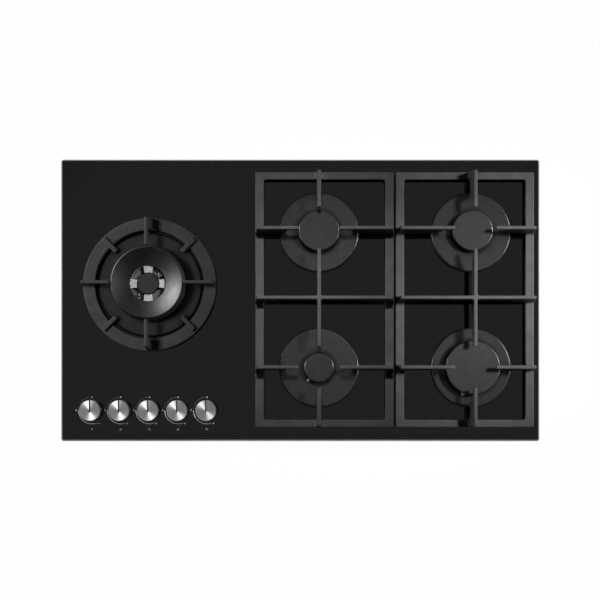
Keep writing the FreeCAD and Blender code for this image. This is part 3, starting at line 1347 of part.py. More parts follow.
def make_inlet_elbow():
    """Elbow in the casing's rear-left pocket, its half-inch thread pointing down."""
    start = manifold_path()[0]
    corner = start + V(0, INLET_ARM, 0)
    thread_top = -TRAY_DEPTH + INLET_THREAD_LENGTH
    knuckle_top = GAS_Z + MANIFOLD_R + INLET_ARM_WALL
    arm = rod(start, V(0, 1, 0), INLET_ARM, MANIFOLD_R + INLET_ARM_WALL)
    knuckle = post(corner.x, corner.y, thread_top, knuckle_top, MANIFOLD_R + INLET_KNUCKLE_WALL)
    thread = post(corner.x, corner.y, -TRAY_DEPTH, thread_top, INLET_THREAD_R)
    solid = fused([arm, knuckle, thread])
    bore_down = post(corner.x, corner.y, -TRAY_DEPTH - 1, GAS_Z, INLET_BORE_R)
    bore_back = rod(start - V(0, 1, 0), V(0, 1, 0), INLET_ARM + 1, MANIFOLD_R - MANIFOLD_WALL)
    return without(solid, [bore_down, bore_back])


def pipe_routes():
    """Centre lines from valve to burner: valve exit, lane, drop under the rails, burner inlet."""
    start_y = KNOB_Y + VALVE_REAR - PIPE_INTO_VALVE
    routes = []
    for side, lane in ((PIPE_EXIT_SIDE, WOK_Y - WOK_JET_OFFSET), (-PIPE_EXIT_SIDE, WOK_Y + WOK_JET_OFFSET)):
        x = knob_x(0) + side
        drop = MANIFOLD_Y + PIPE_DROP_START
        routes.append([V(x, start_y, PIPE_EXIT_Z), V(x, drop, PIPE_EXIT_Z), V(x, drop + PIPE_DROP_RUN, GAS_Z),
                       V(x, lane, GAS_Z), V(WOK_X - WOK_NECK_R, lane, GAS_Z)])
    for index, name, lane, turn_x in PIPE_LANES:
        x = knob_x(index)
        bx, by = BURNERS[name]
        drop = x + PIPE_LANE_LEAD
        route = [V(x, start_y, PIPE_EXIT_Z), V(x, lane, PIPE_EXIT_Z), V(drop, lane, PIPE_EXIT_Z),
                 V(drop + PIPE_DROP_RUN, lane, GAS_Z)]
        if turn_x is not None:
            route += [V(turn_x, lane, GAS_Z), V(turn_x, by, GAS_Z)]
        route.append(V(bx - CUP_NECK_R, by, GAS_Z))
        routes.append(route)
    return routes


def pipe_exit_holes(x):
    holes = []
    for route in pipe_routes():
        if abs(route[0].x - x) < VALVE_HALF_WIDTH:
            holes.append(rod(route[0], V(0, 1, 0), PIPE_HOLE_DEPTH, PIPE_R + RUNNING_FIT))
    return holes


def pipe_nut(start, direction):
    nut = rod(start, direction, PIPE_NUT_LENGTH, PIPE_NUT_R)
    return nut.cut(rod(start - direction, direction, PIPE_NUT_LENGTH + 2, PIPE_R + RUNNING_FIT))


def make_pipes():
    """Aluminium burner pipes with a nut where each leaves its valve and meets its cup."""
    solids = []
    for route in pipe_routes():
        solids.append(along(route, PIPE_R, PIPE_BEND_R))
        solids.append(pipe_nut(V(route[0].x, KNOB_Y + VALVE_REAR, PIPE_EXIT_Z), V(0, 1, 0)))
        solids.append(pipe_nut(route[-1] - V(INLET_BOSS_OUT + PIPE_NUT_LENGTH, 0, 0), V(1, 0, 0)))
    return group(solids)


# ---- ignition and flame sensing -----------------------------------------------------

def make_module():
    """Spark generator's case on the tray floor."""
    low = TRAY_FLOOR
    high = low + MODULE_HEIGHT
    case = plate(MODULE_WIDTH, MODULE_DEPTH, low, high, MODULE_CORNER_R)
    case.translate(V(MODULE_X + MODULE_WIDTH / 2, MODULE_Y + MODULE_DEPTH / 2, 0))
    return case


def make_terminal():
    """Mains terminal box against the rear wall, its gland standing in the wall's notch."""
    rear = CASING_WALL_Y - SHEET
    low = TRAY_FLOOR
    case = box(TERMINAL_X - TERMINAL_WIDTH / 2, rear - TERMINAL_DEPTH, low,
               TERMINAL_X + TERMINAL_WIDTH / 2, rear, low + TERMINAL_HEIGHT)
    gland = rod(V(TERMINAL_X, rear - 1, GLAND_Z), V(0, 1, 0), 1 + SHEET + GLAND_OUT, GLAND_R)
    bore = rod(V(TERMINAL_X, rear - GLAND_BORE, GLAND_Z), V(0, 1, 0), GLAND_BORE + SHEET + GLAND_OUT + 1,
               GLAND_BORE_R)
    return case.fuse(gland).removeSplitter().cut(bore)


def make_ignition_leads():
    """High-voltage leads along the tray floor from the spark generator up to each electrode."""
    leads = []
    for name, side, y_out in LEAD_EXITS:
        ex, ey = electrode_place(name)
        x_out = MODULE_X if side < 0 else MODULE_X + MODULE_WIDTH
        turn_x = x_out + side * LEAD_OUT
        leads.append([V(x_out, y_out, LEAD_Z), V(turn_x, y_out, LEAD_Z), V(turn_x, ey, LEAD_Z),
                      V(ex, ey, LEAD_Z), V(ex, ey, PROBE_FOOT)])
    wx, wy = around(WOK_X, WOK_Y, WOK_PROBE_R, WOK_ELECTRODE_ANGLE)
    leads.append([V(MODULE_X, wy, LEAD_Z), V(wx, wy, LEAD_Z), V(wx, wy, PROBE_FOOT)])
    return group([along(route, LEAD_R, LEAD_BEND_R) for route in leads])


def make_thermocouples():
    """Probe, bush and copper lead in one piece, from beside each crown to its valve's magnet."""
    solids = []
    for index, name, lane, turn_x in THERMO_LANES:
        x, y = thermocouple_place(name)
        start = [V(x, y, PROBE_FOOT), V(x, y, THERMO_LEAD_Z), V(turn_x, y, THERMO_LEAD_Z),
                 V(turn_x, lane, THERMO_LEAD_Z)]
        route = start + lead_to_magnet(index, lane)
        solids.append(thermocouple(x, y, route, PROBE_R, PROBE_TOP, PROBE_BUSH))
    x, y = around(WOK_X, WOK_Y, WOK_PROBE_R, WOK_THERMOCOUPLE_ANGLE)
    lane = y - WOK_LEAD_DROP
    start = [V(x, y, PROBE_FOOT), V(x, y, THERMO_LEAD_Z), V(x, lane, THERMO_LEAD_Z)]
    route = start + lead_to_magnet(0, lane)
    solids.append(thermocouple(x, y, route, WOK_PROBE_ROD_R, WOK_PROBE_TOP, WOK_PROBE_BUSH))
    return group(solids)


def lead_to_magnet(index, lane):
    out_x = thermo_lead_x(index)
    magnet_x = knob_x(index) + VALVE_HALF_WIDTH + MAGNET_LENGTH
    return [V(out_x, lane, THERMO_LEAD_Z), V(out_x, KNOB_Y, THERMO_LEAD_Z), V(out_x, KNOB_Y, MAGNET_Z),
            V(magnet_x, KNOB_Y, MAGNET_Z)]


def thermocouple(x, y, route, radius, top, bush):
    tip = above(top)
    probe = turned([(0, PROBE_FOOT), (radius + bush, PROBE_FOOT), (radius + bush, CUP_SHOULDER),
                    (radius, CUP_SHOULDER), (radius, tip - radius / 2), (radius / 2, tip), (0, tip)], x, y)
    return probe.fuse(along(route, THERMO_LEAD_R, THERMO_LEAD_BEND_R)).removeSplitter()


# ---- parts --------------------------------------------------------------------------

def all_parts():
    parts = {
        "glass_top": make_glass(),
        "worktop_seal": make_worktop_seal(),
        "glass_frame": make_glass_frame(),
        "bottom_tray": make_tray(),
        "m4_screws": make_screws(),
        "worktop_clamps": make_clamps(),
        "clamp_screws": make_clamp_screws(),
        "burner_rails": make_rails(),
        "base_discs": make_base_discs(),
        "wok_base_disc": base_disc(WOK_X, WOK_Y, WOK_DISC_DIAMETER / 2, WOK_CUP_R + DISC_CLEARANCE, []),
        "wok_cup": make_wok_cup(),
        "wok_head": make_wok_head(),
        "wok_outer_cap": make_wok_outer_cap(),
        "wok_inner_cap": make_wok_inner_cap(),
        "wok_support": make_wok_support(),
        "wok_support_feet": rubber_feet(wok_feet_places()),
        "pan_support_left": make_pan_support(-1),
        "pan_support_right": make_pan_support(1),
        "support_feet_left": rubber_feet(support_feet_places(-1)),
        "support_feet_right": rubber_feet(support_feet_places(1)),
        "jets": make_jets(),
        "spark_electrodes": make_electrodes(),
        "thermocouples": make_thermocouples(),
        "ignition_leads": make_ignition_leads(),
        "ignition_module": make_module(),
        "ignition_switches": make_switches(),
        "mains_terminal": make_terminal(),
        "gas_manifold": make_manifold(),
        "inlet_elbow": make_inlet_elbow(),
        "gas_pipes": make_pipes(),
        "valve_bodies": make_valve_bodies(),
        "magnet_units": make_magnets(),
        "knob_seals": make_knob_seals(),
    }
    for name in BURNERS:
        parts["cup_" + name] = make_cup(name)
        parts["crown_" + name] = make_crown(name)
        parts["cap_" + name] = make_cap(name)
    for index in range(KNOB_COUNT):
        parts["knob_%d" % (index + 1)] = make_knob(index)
        parts["spindle_%d" % (index + 1)] = make_spindle(index)
        parts["valve_plug_%d" % (index + 1)] = make_valve_plug(index)
    return parts


def main():
    os.makedirs("parts", exist_ok=True)
    for name, shape in all_parts().items():
        shape.exportStep("parts/%s.step" % name)
        print(name, len(shape.Solids), shape.isValid(), round(shape.Volume))


main()
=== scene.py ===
import json
import math

import bmesh
import bpy
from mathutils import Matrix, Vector


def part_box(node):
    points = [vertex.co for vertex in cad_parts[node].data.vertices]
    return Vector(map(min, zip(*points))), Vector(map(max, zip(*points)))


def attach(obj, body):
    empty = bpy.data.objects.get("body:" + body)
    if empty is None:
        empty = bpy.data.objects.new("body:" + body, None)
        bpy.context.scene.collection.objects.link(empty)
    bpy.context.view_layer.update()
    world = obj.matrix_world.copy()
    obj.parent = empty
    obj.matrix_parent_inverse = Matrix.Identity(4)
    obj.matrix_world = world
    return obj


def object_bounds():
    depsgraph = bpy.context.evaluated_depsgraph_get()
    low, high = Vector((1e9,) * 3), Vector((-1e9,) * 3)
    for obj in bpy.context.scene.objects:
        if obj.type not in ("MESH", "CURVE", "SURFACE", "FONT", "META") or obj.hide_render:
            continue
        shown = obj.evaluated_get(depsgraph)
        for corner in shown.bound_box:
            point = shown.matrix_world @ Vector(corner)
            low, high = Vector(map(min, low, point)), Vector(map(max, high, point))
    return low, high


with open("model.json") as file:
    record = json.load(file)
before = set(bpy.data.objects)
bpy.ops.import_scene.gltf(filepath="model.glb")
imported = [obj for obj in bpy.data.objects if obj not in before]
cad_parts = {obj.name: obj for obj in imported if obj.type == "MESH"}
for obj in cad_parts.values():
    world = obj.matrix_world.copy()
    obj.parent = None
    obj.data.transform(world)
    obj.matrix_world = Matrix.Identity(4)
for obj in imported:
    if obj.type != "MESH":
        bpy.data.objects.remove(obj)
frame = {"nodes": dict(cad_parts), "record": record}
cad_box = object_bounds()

# Looks for the gas cooktop: materials for every CAD node, the print round the knobs, the
# ground edge of the glass, pointer inlays, floor, light and camera. Metres, Z up.

NODES = frame["nodes"]
MM = 0.001
GLASS_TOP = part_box("glass_top")[1].z
GLASS_HALF_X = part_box("glass_top")[1].x
GLASS_HALF_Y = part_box("glass_top")[1].y
GLASS_BEVEL = 2.5 * MM
GLASS_CORNER_R = 5.0 * MM
FLOOR_Z = cad_box[0].z
KNOBS = 5
POINTER_GROOVE = 0.51 * MM  # its depth below the knob's face
INK_THICKNESS = 0.05 * MM
WELL_X_LIMIT = -150 * MM    # everything further left belongs to the wok burner

# Levels of the surroundings: ceiling in reflections, diffuse fill, floor as seen by the camera.
CEILING = 0.11
FILL = 0.012
FLOOR_GLOW = 0.985
FLOOR_HALF = 8.0

# Camera straight above the glass, its picture shifted rather than tilted.
CAMERA_PLACE = (0.0183, -0.1724, GLASS_TOP + 1.55)
CAMERA_SENSOR = 36.0
CAMERA_LENS = 49.47
CAMERA_SHIFT = (-10.0 / 600, 92.0 / 600)

# Colour of the painted shade on the enamelled parts' slopes and hollows.
PAINTED_SHADE_BLACK = (0.001, 0.001, 0.001)


# ---- node helpers -------------------------------------------------------------------

class Shader:
    """A material's node tree with a Principled BSDF and short calls for common nodes."""

    def __init__(self, name):
        self.material = bpy.data.materials.new(name)
        self.material.use_nodes = True
        self.tree = self.material.node_tree
        self.tree.nodes.clear()
        self.bsdf = self.node("ShaderNodeBsdfPrincipled")
        out = self.node("ShaderNodeOutputMaterial")
        self.link(self.bsdf.outputs["BSDF"], out.inputs["Surface"])
        self.coord = self.node("ShaderNodeTexCoord")

    def node(self, kind, **settings):
        made = self.tree.nodes.new(kind)
        for key, value in settings.items():
            setattr(made, key, value)
        return made

    def link(self, source, target):
        self.tree.links.new(source, target)

    def put(self, target, value):
        if hasattr(value, "links"):
            self.link(value, target)
        else:
            target.default_value = value

    def set(self, **values):
        for name, value in values.items():
            self.put(self.bsdf.inputs[name.replace("_", " ")], value)

    def math(self, operation, a, b=0.0, clamp=False):
        made = self.node("ShaderNodeMath", operation=operation, use_clamp=clamp)
        self.put(made.inputs[0], a)
        self.put(made.inputs[1], b)
        return made.outputs[0]

    def vector(self, operation, a, b=None):
        made = self.node("ShaderNodeVectorMath", operation=operation)
        self.put(made.inputs[0], a)
        if b is not None:
            self.put(made.inputs[1], b)
        return made.outputs["Value" if operation in ("LENGTH", "DOT_PRODUCT") else "Vector"]

    def noise(self, size, detail=2.0, rough=0.5, stretch=None):
        """Noise whose blobs are about size metres across."""
        place = self.coord.outputs["Object"]
        if stretch:
            place = self.vector("MULTIPLY", place, stretch)
        made = self.node("ShaderNodeTexNoise")
        self.link(place, made.inputs["Vector"])
        made.inputs["Scale"].default_value = 1 / size
        made.inputs["Detail"].default_value = detail
        made.inputs["Roughness"].default_value = rough
        return made.outputs["Fac"]

    def cells(self, size):
        """A random colour for each cell of about size metres."""
        made = self.node("ShaderNodeTexVoronoi", feature="F1")
        self.link(self.coord.outputs["Object"], made.inputs["Vector"])
        made.inputs["Scale"].default_value = 1 / size
        return made.outputs["Color"]

    def spread(self, value, low, high, start=0.3, end=0.7):
        """Maps value from start..end to low..high."""
        made = self.node("ShaderNodeMapRange", clamp=True)
        self.put(made.inputs["Value"], value)
        made.inputs["From Min"].default_value = start
        made.inputs["From Max"].default_value = end
        made.inputs["To Min"].default_value = low
        made.inputs["To Max"].default_value = high
        return made.outputs["Result"]

    def blend(self, factor, a, b):
        made = self.node("ShaderNodeMix", data_type="RGBA")
        self.put(made.inputs["Factor"], factor)
        for socket, colour in ((made.inputs[6], a), (made.inputs[7], b)):
            self.put(socket, (*colour, 1.0) if isinstance(colour, tuple) else colour)
        return made.outputs[2]

    def base_colour(self):
        """What feeds the base colour so far."""
        return self.bsdf.inputs["Base Color"].links[0].from_socket

    def rest_place(self):
        """X and Z of the shaded point as it lies at rest."""
        place = self.node("ShaderNodeSeparateXYZ")
        self.link(self.coord.outputs["Object"], place.inputs[0])
        return place.outputs["X"], place.outputs["Z"]

    def bump(self, height, depth, strength=1.0, below=None):
        made = self.node("ShaderNodeBump")
        made.inputs["Strength"].default_value = strength
        made.inputs["Distance"].default_value = depth
        self.link(height, made.inputs["Height"])
        if below is not None:
            self.link(below, made.inputs["Normal"])
        return made.outputs["Normal"]


def shade(colour, factor):
    return tuple(channel * factor for channel in colour)


# ---- materials ----------------------------------------------------------------------

def grained(name, colour, roughness, metallic=0.0, grain=0.7 * MM, depth=0.03 * MM,
            mottle=9 * MM, variation=0.12, rough_spread=0.06, specular=0.5):
    """Cast, enamelled or moulded surface: fine grain in relief, soft mottling in tone and gloss."""
    s = Shader(name)
    cloud = s.noise(mottle, 3.0)
    fine = s.noise(grain, 2.0, 0.6)
    tone = s.blend(s.spread(cloud, 0.0, 1.0), shade(colour, 1 - variation),
                   shade(colour, 1 + variation))
    speck = s.math("MULTIPLY", s.spread(fine, 0.0, 1.0, 0.35, 0.65), 0.35)
    s.set(Base_Color=s.blend(speck, tone, shade(colour, 1 + 2 * variation)))
    s.set(Roughness=s.math("ADD", s.spread(cloud, -rough_spread, rough_spread),
                           s.spread(fine, roughness - rough_spread / 2,
                                    roughness + rough_spread / 2)))
    s.set(Metallic=metallic, Specular_IOR_Level=specular, Normal=s.bump(fine, depth))
    return s


def enamel(name, colour, roughness, specular):
    """Black enamel with painted shade: its base colour is darkened on slopes and in hollows, where
    less light falls, compared with its open flats.
    """
    s = grained(name, colour, roughness, grain=0.9 * MM, depth=0.02 * MM, mottle=14 * MM,
                variation=0.1, rough_spread=0.03, specular=specular)
    old = s.base_colour()
    facing = s.node("ShaderNodeSeparateXYZ")
    s.link(s.node("ShaderNodeNewGeometry").outputs["Normal"], facing.inputs[0])
    # Painted shade: slopes such as the discs' shoulders are darkened nearly to black by their
    # facing.
    flat = s.spread(facing.outputs["Z"], 0.08, 1.0, 0.8, 0.99)
    # Painted shade: ambient occlusion darkens hollows, such as the disc round each cap.
    painted_hollow_shade_ao = s.node("ShaderNodeAmbientOcclusion", samples=6)
    painted_hollow_shade_ao.inputs["Distance"].default_value = 16 * MM
    painted_hollow_shade = s.spread(painted_hollow_shade_ao.outputs["AO"], 0.1, 1.0, 0.55, 0.97)
    # The painted shade of slopes and hollows is mixed into the base colour here.
    s.set(Base_Color=s.blend(s.math("MULTIPLY", flat, painted_hollow_shade), PAINTED_SHADE_BLACK, old))
    return s


def cast_aluminium(name):
    """Bead-blasted casting with painted shade: darker down in the well than on its bridges."""
    s = grained(name, (0.3, 0.3, 0.305), 0.55, metallic=1.0, grain=0.6 * MM,
                depth=0.015 * MM, variation=0.08)
    old = s.base_colour()
    _, z = s.rest_place()
    painted_well_shade_mask = s.spread(z, 0.0, 1.0, GLASS_TOP + 14 * MM, GLASS_TOP + 23 * MM)
    # Painted shade: the base colour darkens toward the bottom of the well, where less light
    # reaches.
    s.set(Base_Color=s.blend(painted_well_shade_mask, (0.075, 0.075, 0.078), old))
    return s


def cast_iron(name):
    """Enamelled casting with coarse grain and edges that look rounded."""
    s = grained(name, (0.048, 0.048, 0.049), 0.5, grain=1.6 * MM, depth=0.05 * MM,
                mottle=22 * MM, variation=0.16, specular=0.12)
    rounding = s.node("ShaderNodeBevel", samples=4)
    rounding.inputs["Radius"].default_value = 1.6 * MM
    bump = s.bsdf.inputs["Normal"].links[0].from_node
    s.link(rounding.outputs["Normal"], bump.inputs["Normal"])
    return s


def black_glass(name):
    """Polished black glass with a faint film of wiping marks."""
    s = Shader(name)
    film = s.noise(60 * MM, 4.0, 0.6)
    wave = s.noise(180 * MM, 1.0)
    s.set(Base_Color=s.blend(s.spread(film, 0.0, 1.0), (0.0022, 0.0022, 0.0024),
                             (0.0034, 0.0034, 0.0036)))
    s.set(Roughness=s.spread(film, 0.02, 0.05), Specular_IOR_Level=1.0)
    s.set(Coat_Weight=1.0, Coat_Roughness=0.02, Coat_IOR=1.6)
    s.set(Normal=s.bump(wave, 0.02 * MM, 0.3))
    return s


def ground_glass(name):
    """The matt, greenish-grey ground edge."""
    s = Shader(name)
    grit = s.noise(0.5 * MM, 3.0, 0.7)
    along = s.noise(30 * MM, 2.0)
    s.set(Base_Color=s.blend(s.spread(along, 0.0, 1.0), (0.36, 0.35, 0.315),
                             (0.44, 0.425, 0.385)))
    s.set(Roughness=s.spread(grit, 0.35, 0.55), Normal=s.bump(grit, 0.02 * MM, 0.6))
    return s


def spun_metal(name):
    """Metal brushed in circles about the piece's own upright axis."""
    s = Shader(name)
    from_axis = s.vector("SUBTRACT", s.coord.outputs["Generated"], (0.5, 0.5, 0.5))
    flat = s.vector("MULTIPLY", from_axis, (1.0, 1.0, 0.0))
    radius = s.vector("LENGTH", flat)
    rings = s.node("ShaderNodeTexNoise", noise_dimensions="1D")
    s.link(radius, rings.inputs["W"])
    rings.inputs["Scale"].default_value = 160.0
    rings.inputs["Detail"].default_value = 3.0
    ring = rings.outputs["Fac"]
    s.set(Base_Color=s.blend(s.spread(ring, 0.0, 1.0), (0.55, 0.55, 0.55),
                             (0.68, 0.675, 0.67)))
    s.set(Roughness=s.spread(ring, 0.3, 0.38), Metallic=0.7)
    s.set(Anisotropic=0.85, Anisotropic_Rotation=0.25)
    tangent = s.node("ShaderNodeTangent", direction_type="RADIAL", axis="Z")
    s.link(tangent.outputs[0], s.bsdf.inputs["Tangent"])
    return s


def galvanised(name):
    """Zinc-coated sheet with its spangle."""
    s = Shader(name)
    spangle = s.cells(9 * MM)
    split = s.node("ShaderNodeSeparateColor")
    s.link(spangle, split.inputs[0])
    fleck = split.outputs[0]
    haze = s.noise(40 * MM, 3.0)
    tone = s.blend(fleck, (0.46, 0.47, 0.48), (0.62, 0.63, 0.64))
    s.set(Base_Color=s.blend(s.spread(haze, 0.0, 0.4), tone, (0.7, 0.7, 0.7)))
    s.set(Roughness=s.spread(fleck, 0.32, 0.5, 0.0, 1.0), Metallic=0.9)
    s.set(Normal=s.bump(fleck, 0.004 * MM, 0.4))
    return s


def turned_metal(name, colour, roughness):
    """Drawn or turned metal: fine lines round the piece, slight tarnish."""
    s = Shader(name)
    lines = s.noise(1.2 * MM, 2.0, stretch=(1.0, 1.0, 6.0))
    tarnish = s.noise(12 * MM, 3.0)
    s.set(Base_Color=s.blend(s.spread(tarnish, 0.0, 1.0), shade(colour, 0.82),
                             shade(colour, 1.08)))
    s.set(Roughness=s.math("ADD", s.spread(lines, roughness - 0.06, roughness + 0.06),
                           s.spread(tarnish, 0.05, 0.0)), Metallic=1.0)
    s.set(Normal=s.bump(lines, 0.006 * MM, 0.5))
    return s


def electrode(name):
    """Glazed ceramic up to the shoulder, bare metal tip above it, higher in the wok's well."""
    s = grained(name, (0.78, 0.76, 0.7), 0.22, grain=0.5 * MM, depth=0.004 * MM,
                variation=0.05)
    x, z = s.rest_place()
    in_well = s.math("LESS_THAN", x, WELL_X_LIMIT)
    shoulder = s.math("ADD", s.math("MULTIPLY", in_well, 5 * MM), GLASS_TOP + 9.2 * MM)
    tip = s.math("GREATER_THAN", z, shoulder)
    old = s.base_colour()
    metal = s.blend(in_well, (0.5, 0.49, 0.47), (0.42, 0.32, 0.2))
    s.set(Base_Color=s.blend(tip, old, metal), Metallic=tip)
    return s


def thermocouple(name):
    """Steel probe above the glass, copper capillary under it."""
    s = turned_metal(name, (0.62, 0.36, 0.22), 0.34)
    _, z = s.rest_place()
    probe = s.math("GREATER_THAN", z, -14 * MM)
    s.set(Base_Color=s.blend(probe, s.base_colour(), (0.62, 0.61, 0.6)))
    return s


def print_ink(name, value):
    return grained(name, (value, value, value), 0.45, grain=0.3 * MM, depth=0.002 * MM,
                   variation=0.1)


def slot_materials():
    """One material for each of the record's slots."""
    made = {
        "black_glass": black_glass("black_glass"),
        "foam_seal": grained("foam_seal", (0.035, 0.035, 0.036), 0.85, grain=0.6 * MM,
                             depth=0.12 * MM, specular=0.2),
        "galvanised": galvanised("galvanised"),
        "zinc_screws": turned_metal("zinc_screws", (0.62, 0.62, 0.6), 0.3),
        "disc_enamel": enamel("disc_enamel", (0.0145, 0.0145, 0.015), 0.3, 0.5),
        "cap_enamel": enamel("cap_enamel", (0.022, 0.022, 0.0225), 0.34, 0.45),
        "wok_cap_enamel": enamel("wok_cap_enamel", (0.001, 0.001, 0.0011), 0.45, 0.6),
        "burner_aluminium": cast_aluminium("burner_aluminium"),
        "cast_iron": cast_iron("cast_iron"),
        "rubber": grained("rubber", (0.018, 0.018, 0.019), 0.7, grain=0.4 * MM, depth=0.01 * MM,
                          specular=0.3),
        "knob_metal": spun_metal("knob_metal"),
        "steel_pipe": turned_metal("steel_pipe", (0.55, 0.55, 0.56), 0.32),
        "brass": turned_metal("brass", (0.72, 0.52, 0.24), 0.28),
        "copper": thermocouple("copper"),
        "ceramic": electrode("ceramic"),
        "lead_insulation": grained("lead_insulation", (0.62, 0.61, 0.57), 0.5, grain=0.5 * MM,
                                   depth=0.01 * MM, variation=0.06),
        "dark_plastic": grained("dark_plastic", (0.03, 0.03, 0.033), 0.42, grain=0.4 * MM,
                                depth=0.015 * MM),
        "white_plastic": grained("white_plastic", (0.7, 0.7, 0.67), 0.4, grain=0.4 * MM,
                                 depth=0.015 * MM, variation=0.04),
        "pipe_aluminium": turned_metal("pipe_aluminium", (0.7, 0.7, 0.71), 0.34),
        "valve_alloy": grained("valve_alloy", (0.55, 0.55, 0.56), 0.45, metallic=1.0,
                               grain=0.7 * MM,
                               depth=0.03 * MM, variation=0.1),
    }
    return {slot: shader.material for slot, shader in made.items()}


def dress_nodes(materials):
    slots = {part["node"]: part["material_slot"] for part in frame["record"]["subparts"]}
    for name, node in NODES.items():
        node.data.materials.clear()
        node.data.materials.append(materials[slots[name]])


# ---- pieces -------------------------------------------------------------------------

def piece(name, mesh, material, body):
    made = bpy.data.objects.new(name, mesh)
    bpy.context.scene.collection.objects.link(made)
    made.data.materials.append(material)
    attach(made, body)
    return made


def finished(bm, name):
    bmesh.ops.recalc_face_normals(bm, faces=bm.faces)
    mesh = bpy.data.meshes.new(name)
    bm.to_mesh(mesh)
    bm.free()
    return mesh


def slab(bm, points, low, high):
    """Flat closed shape between two heights from its outline."""
    bottom = [bm.verts.new((x, y, low)) for x, y in points]
    top = [bm.verts.new((x, y, high)) for x, y in points]
    bm.faces.new(top)
    bm.faces.new(bottom)
    for i in range(len(points)):
        j = (i + 1) % len(points)
        bm.faces.new((bottom[i], bottom[j], top[j], top[i]))


def round_outline(centre, radius, steps=20):
    turn = [2 * math.pi * i / steps for i in range(steps)]
    return [(centre[0] + radius * math.cos(a), centre[1] + radius * math.sin(a)) for a in turn]


def at_angle(centre, radius, degrees):
    a = math.radians(degrees)
    return (centre[0] + radius * math.cos(a), centre[1] + radius * math.sin(a))


def arc_outline(centre, radius, start, end, width_start, width_end, steps=48):
    outer, inner = [], []
    for i in range(steps + 1):
        t = i / steps
        half = (width_start + (width_end - width_start) * t) / 2
        degrees = start + (end - start) * t
        outer.append(at_angle(centre, radius + half, degrees))
        inner.append(at_angle(centre, radius - half, degrees))
    return outer + inner[::-1]


def drop_outline(centre, height, steps=24):
    """A plain flame drop, pointed end up."""
    points = []
    for i in range(steps):
        a = 2 * math.pi * i / steps
        reach = math.sin(a)
        wide = math.cos(a) * (1 - max(0.0, reach)) ** 0.6
        points.append((centre[0] + wide * height * 0.36,
                       centre[1] + reach * height * (0.6 if reach > 0 else 0.4)))
    return points


def knob_centre(number):
    low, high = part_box(f"knob_{number}")
    return ((low.x + high.x) / 2, (low.y + high.y) / 2), high.z


def print_marks(number, ink):
    """Off dot, dotted arc to full flame, tapering arc to low flame, and which burner it is for."""
    centre, _ = knob_centre(number)
    low, high = GLASS_TOP - 0.02 * MM, GLASS_TOP + INK_THICKNESS
    bm = bmesh.new()
    slab(bm, round_outline(at_angle(centre, 24.8 * MM, 90), 1.3 * MM), low, high)
    for i in range(9):
        slab(bm, round_outline(at_angle(centre, 25.3 * MM, 101 + i * 8.6), 0.5 * MM, 10), low, high)
    slab(bm, arc_outline(centre, 25.3 * MM, 180, 291, 1.9 * MM, 0.9 * MM), low, high)
    slab(bm, drop_outline(at_angle(centre, 29.6 * MM, 179.5), 4.6 * MM), low, high)
    slab(bm, drop_outline(at_angle(centre, 27.6 * MM, 297), 3.2 * MM), low, high)
    icon = (centre[0], centre[1] - 35.5 * MM)
    spots = {1: [(0, 0)], 2: [(-0.9, -0.8), (0.9, 0.8)], 3: [(-0.9, 0.8), (0.9, -0.8)],
             4: [(-0.9, -0.8), (0.9, 0.8)], 5: [(-0.9, 0.8), (0.9, -0.8)]}[number]
    for n, (x, y) in enumerate(spots):
        size = 1.2 if n == 0 else 0.8
        slab(bm, round_outline((icon[0] + x * MM, icon[1] + y * MM), size * MM, 16), low, high)
    return piece(f"print_{number}", finished(bm, f"print_{number}"), ink, "root")


def pointer_inlay(number, paint):
    """Black paint on the floor of the pointer groove."""
    (x, y), top = knob_centre(number)
    half = 1.38 * MM
    end = 18.9 * MM
    back = -3.9 * MM
    corner = 0.4 * MM
    low, high = top - POINTER_GROOVE, top - 0.4 * MM
    points = [(x + half, y + end), (x - half, y + end), (x - half, y + back + corner),
              (x - half + corner, y + back), (x + half - corner, y + back),
              (x + half, y + back + corner)]
    bm = bmesh.new()
    slab(bm, points, low, high)
    name = f"pointer_inlay_{number}"
    return piece(name, finished(bm, name), paint, f"knob_{number}")


def rounded_rectangle(half_x, half_y, radius, steps=8):
    points = []
    for cx, cy, first in ((1, 1, 0), (-1, 1, 90), (-1, -1, 180), (1, -1, 270)):
        for i in range(steps + 1):
            corner = (cx * (half_x - radius), cy * (half_y - radius))
            points.append(at_angle(corner, radius, first + 90 * i / steps))
    return points


def glass_edge(material):
    """The ground bevel that runs round the top of the glass, as a skin just proud of it."""
    proud = 0.03 * MM
    rings = []
    for inset, drop in ((0.0, 1.0), (0.03, 0.95), (0.97, 0.03), (1.02, 0.0), (1.06, -0.02)):
        d = GLASS_BEVEL * inset
        z = GLASS_TOP - GLASS_BEVEL * drop + (proud if 0 < inset < 1.05 else 0)
        rings.append((d, min(z, GLASS_TOP + proud)))
    bm = bmesh.new()
    loops = []
    for d, z in rings:
        outline = rounded_rectangle(GLASS_HALF_X - d, GLASS_HALF_Y - d,
                                    max(GLASS_CORNER_R - d, 1.5 * MM))
        loops.append([bm.verts.new((px, py, z)) for px, py in outline])
    for a, b in zip(loops, loops[1:]):
        count = len(a)
        for i in range(count):
            j = (i + 1) % count
            bm.faces.new((a[i], a[j], b[j], b[i]))
    return piece("glass_edge", finished(bm, "glass_edge"), material, "root")


# ---- surroundings -------------------------------------------------------------------

